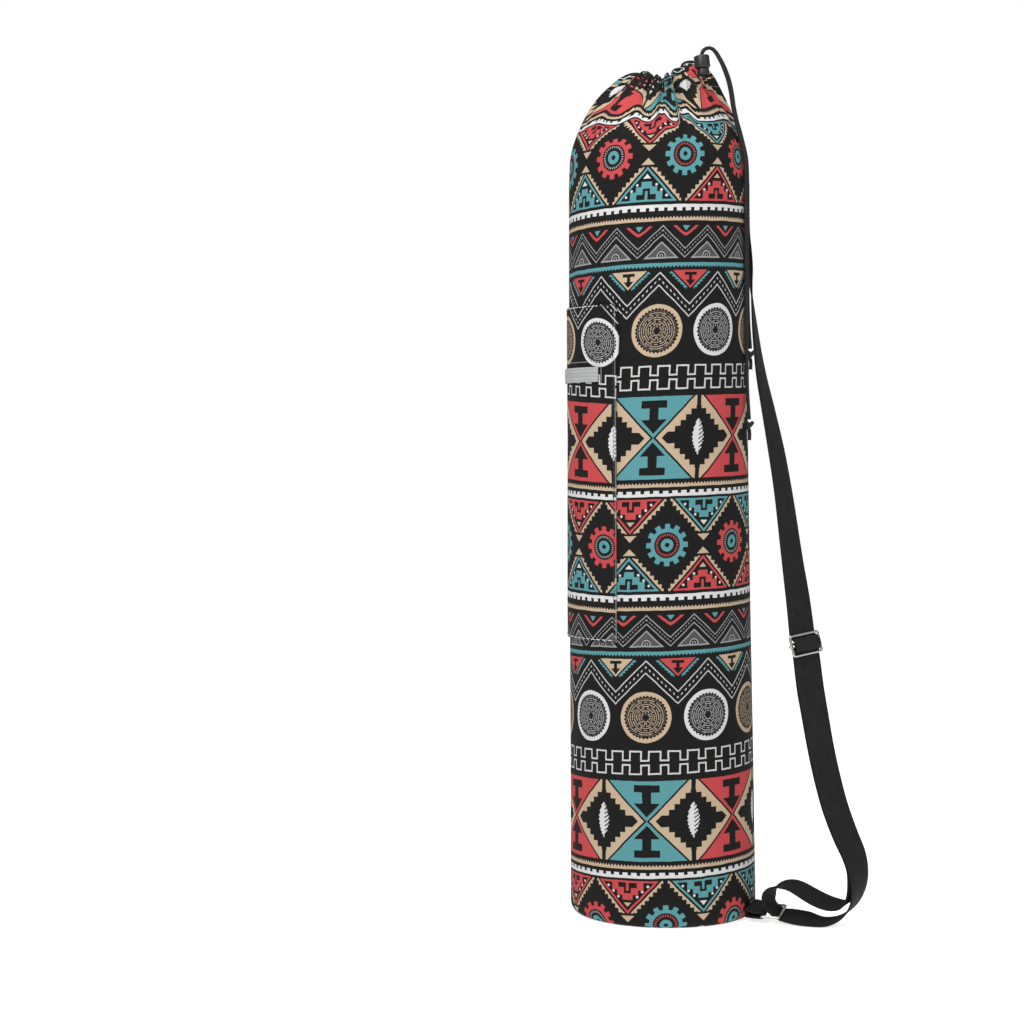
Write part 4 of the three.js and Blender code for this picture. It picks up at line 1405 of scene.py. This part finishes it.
def add_knot(name, node, points):
    """An overhand knot and a short tail below the cord's last point."""
    x, y, z = points[-1]
    line = []
    for i in range(61):
        t = 2 * math.pi * i / 60
        line.append(Vector((
            x + 1.9 * math.sin(t + 0.4) + 0.9 * math.sin(2 * t),
            y + 1.7 * math.cos(t) - 0.8 * math.cos(2 * t) - 0.5,
            z - 5.2 + 2.6 * math.sin(1.5 * t),
        )))
    tail = [Vector((x, y, z - 8.0)), Vector((x + 0.4, y, z - 12)), Vector((x + 0.2, y, z - 17))]
    loop = capped_tube(tube_along(line, CORD, sides=10))
    end = capped_tube(tube_along(tail, CORD, sides=10))
    knot_points, faces = joined_mesh([loop, end])
    knot = add_mesh(name, knot_points, faces, braid)
    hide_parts(node)
    return knot


# Cord lock
CORD_SPACING = 3.6
LOCK_WALL = 2.7
LOCK_BODY_LENGTH = 10.5
LOCK_BUTTON_LENGTH = 5.5
LOCK_BUTTON_WALL = 1.4
LOCK_TILT = 7
LOCK_PLACE = Vector((30.4, -35.3, 699.7))
LOCK_HOLE = (CORD_SPACING + CORD) / 2 + CLEARANCE


def lock_barrel(name, node, middle, profile, material):
    """A turned piece on the lock's axis. The profile gives radius and height."""
    tilt = math.radians(-LOCK_TILT)
    count = 40
    points = []
    for radius, height in profile:
        for k in range(count):
            a = 2 * math.pi * k / count
            x, z = radius * math.cos(a), middle + height
            points.append(LOCK_PLACE + Vector((
                x * math.cos(tilt) + z * math.sin(tilt),
                radius * math.sin(a),
                -x * math.sin(tilt) + z * math.cos(tilt),
            )))
    faces = grid_faces(len(profile), count, close_rows=True, close_columns=True)
    piece = add_mesh(name, points, faces, material)
    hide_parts(node)
    return piece


def barrel_profile(radius, length, roll):
    half = length / 2
    profile = [(LOCK_HOLE, -half + 0.4), (LOCK_HOLE + 0.4, -half), (radius - roll, -half)]
    for i in range(1, 5):
        a = math.pi / 2 * i / 4
        profile.append((radius - roll + roll * math.sin(a), -half + roll * (1 - math.cos(a))))
    profile.append((radius, -0.3))
    for i in range(5):
        a = math.pi / 2 * i / 4
        profile.append((radius - roll + roll * math.cos(a), half - roll * (1 - math.sin(a))))
    profile += [(LOCK_HOLE + 0.4, half), (LOCK_HOLE, half - 0.4)]
    return profile


lock_body = lock_barrel(
    "lock_barrel", "cord_lock_body", 0, barrel_profile(LOCK_HOLE + LOCK_WALL, LOCK_BODY_LENGTH, 1.4), plastic,
)
button_middle = -(LOCK_BODY_LENGTH + LOCK_BUTTON_LENGTH) / 2 - CLEARANCE
lock_button = lock_barrel(
    "lock_button", "cord_lock_button", button_middle,
    barrel_profile(LOCK_HOLE + LOCK_BUTTON_WALL, LOCK_BUTTON_LENGTH, 0.7), plastic,
)

long_cord, long_path, long_length = add_cord("cord_end_long", "drawcord_long", LONG_CORD, braid)
short_cord, short_path, short_length = add_cord("cord_end_short", "drawcord_short", SHORT_CORD, braid)
long_knot = add_knot("knot_long", "cord_knot_long", LONG_CORD)
short_knot = add_knot("knot_short", "cord_knot_short", SHORT_CORD)


# Stage and lights
def add_stage():
    floor = bpy.data.meshes.new("floor")
    floor.from_pydata([(-6, -3, 0), (6, -3, 0), (6, 6, 0), (-6, 6, 0)], [], [(0, 1, 2, 3)])
    obj = bpy.data.objects.new("floor", floor)
    bpy.context.scene.collection.objects.link(obj)
    white, nodes, links, shader = new_material("floor_white")
    shader.inputs["Base Color"].default_value = (0.9, 0.9, 0.9, 1)
    shader.inputs["Roughness"].default_value = 0.9
    shader.inputs["Metallic"].default_value = 0.0
    shader.inputs["Emission Color"].default_value = (1, 1, 1, 1)
    shader.inputs["Emission Strength"].default_value = 0.74
    floor.materials.append(white)


def add_world():
    """A white backdrop, which lights the bag less than it shows."""
    world = bpy.data.worlds.new("studio")
    bpy.context.scene.world = world
    world.use_nodes = True
    tree = world.node_tree
    background = tree.nodes["Background"]
    background.inputs["Color"].default_value = (1, 1, 1, 1)
    light_path = tree.nodes.new("ShaderNodeLightPath")
    seen = Field(tree, light_path.outputs["Is Camera Ray"])
    tree.links.new((seen * 0.6 + 0.4).socket, background.inputs["Strength"])


def add_light(name, place, target, size, power):
    data = bpy.data.lights.new(name, "AREA")
    data.shape = "SQUARE"
    data.size = size
    data.energy = power
    light = bpy.data.objects.new(name, data)
    bpy.context.scene.collection.objects.link(light)
    light.location = place
    light.rotation_euler = (Vector(target) - Vector(place)).to_track_quat("-Z", "Y").to_euler()


add_stage()
add_light("key", (-0.5, -1.1, 1.25), (0, 0, 0.62), 0.8, 13.5)
add_light("fill", (1.2, -1.4, 1.2), (0, 0, 0.5), 1.2, 5.5)
add_light("top", (0.0, -0.3, 1.6), (0, 0, 0.7), 0.8, 10)
add_world()
bpy.context.scene.view_settings.view_transform = "Standard"
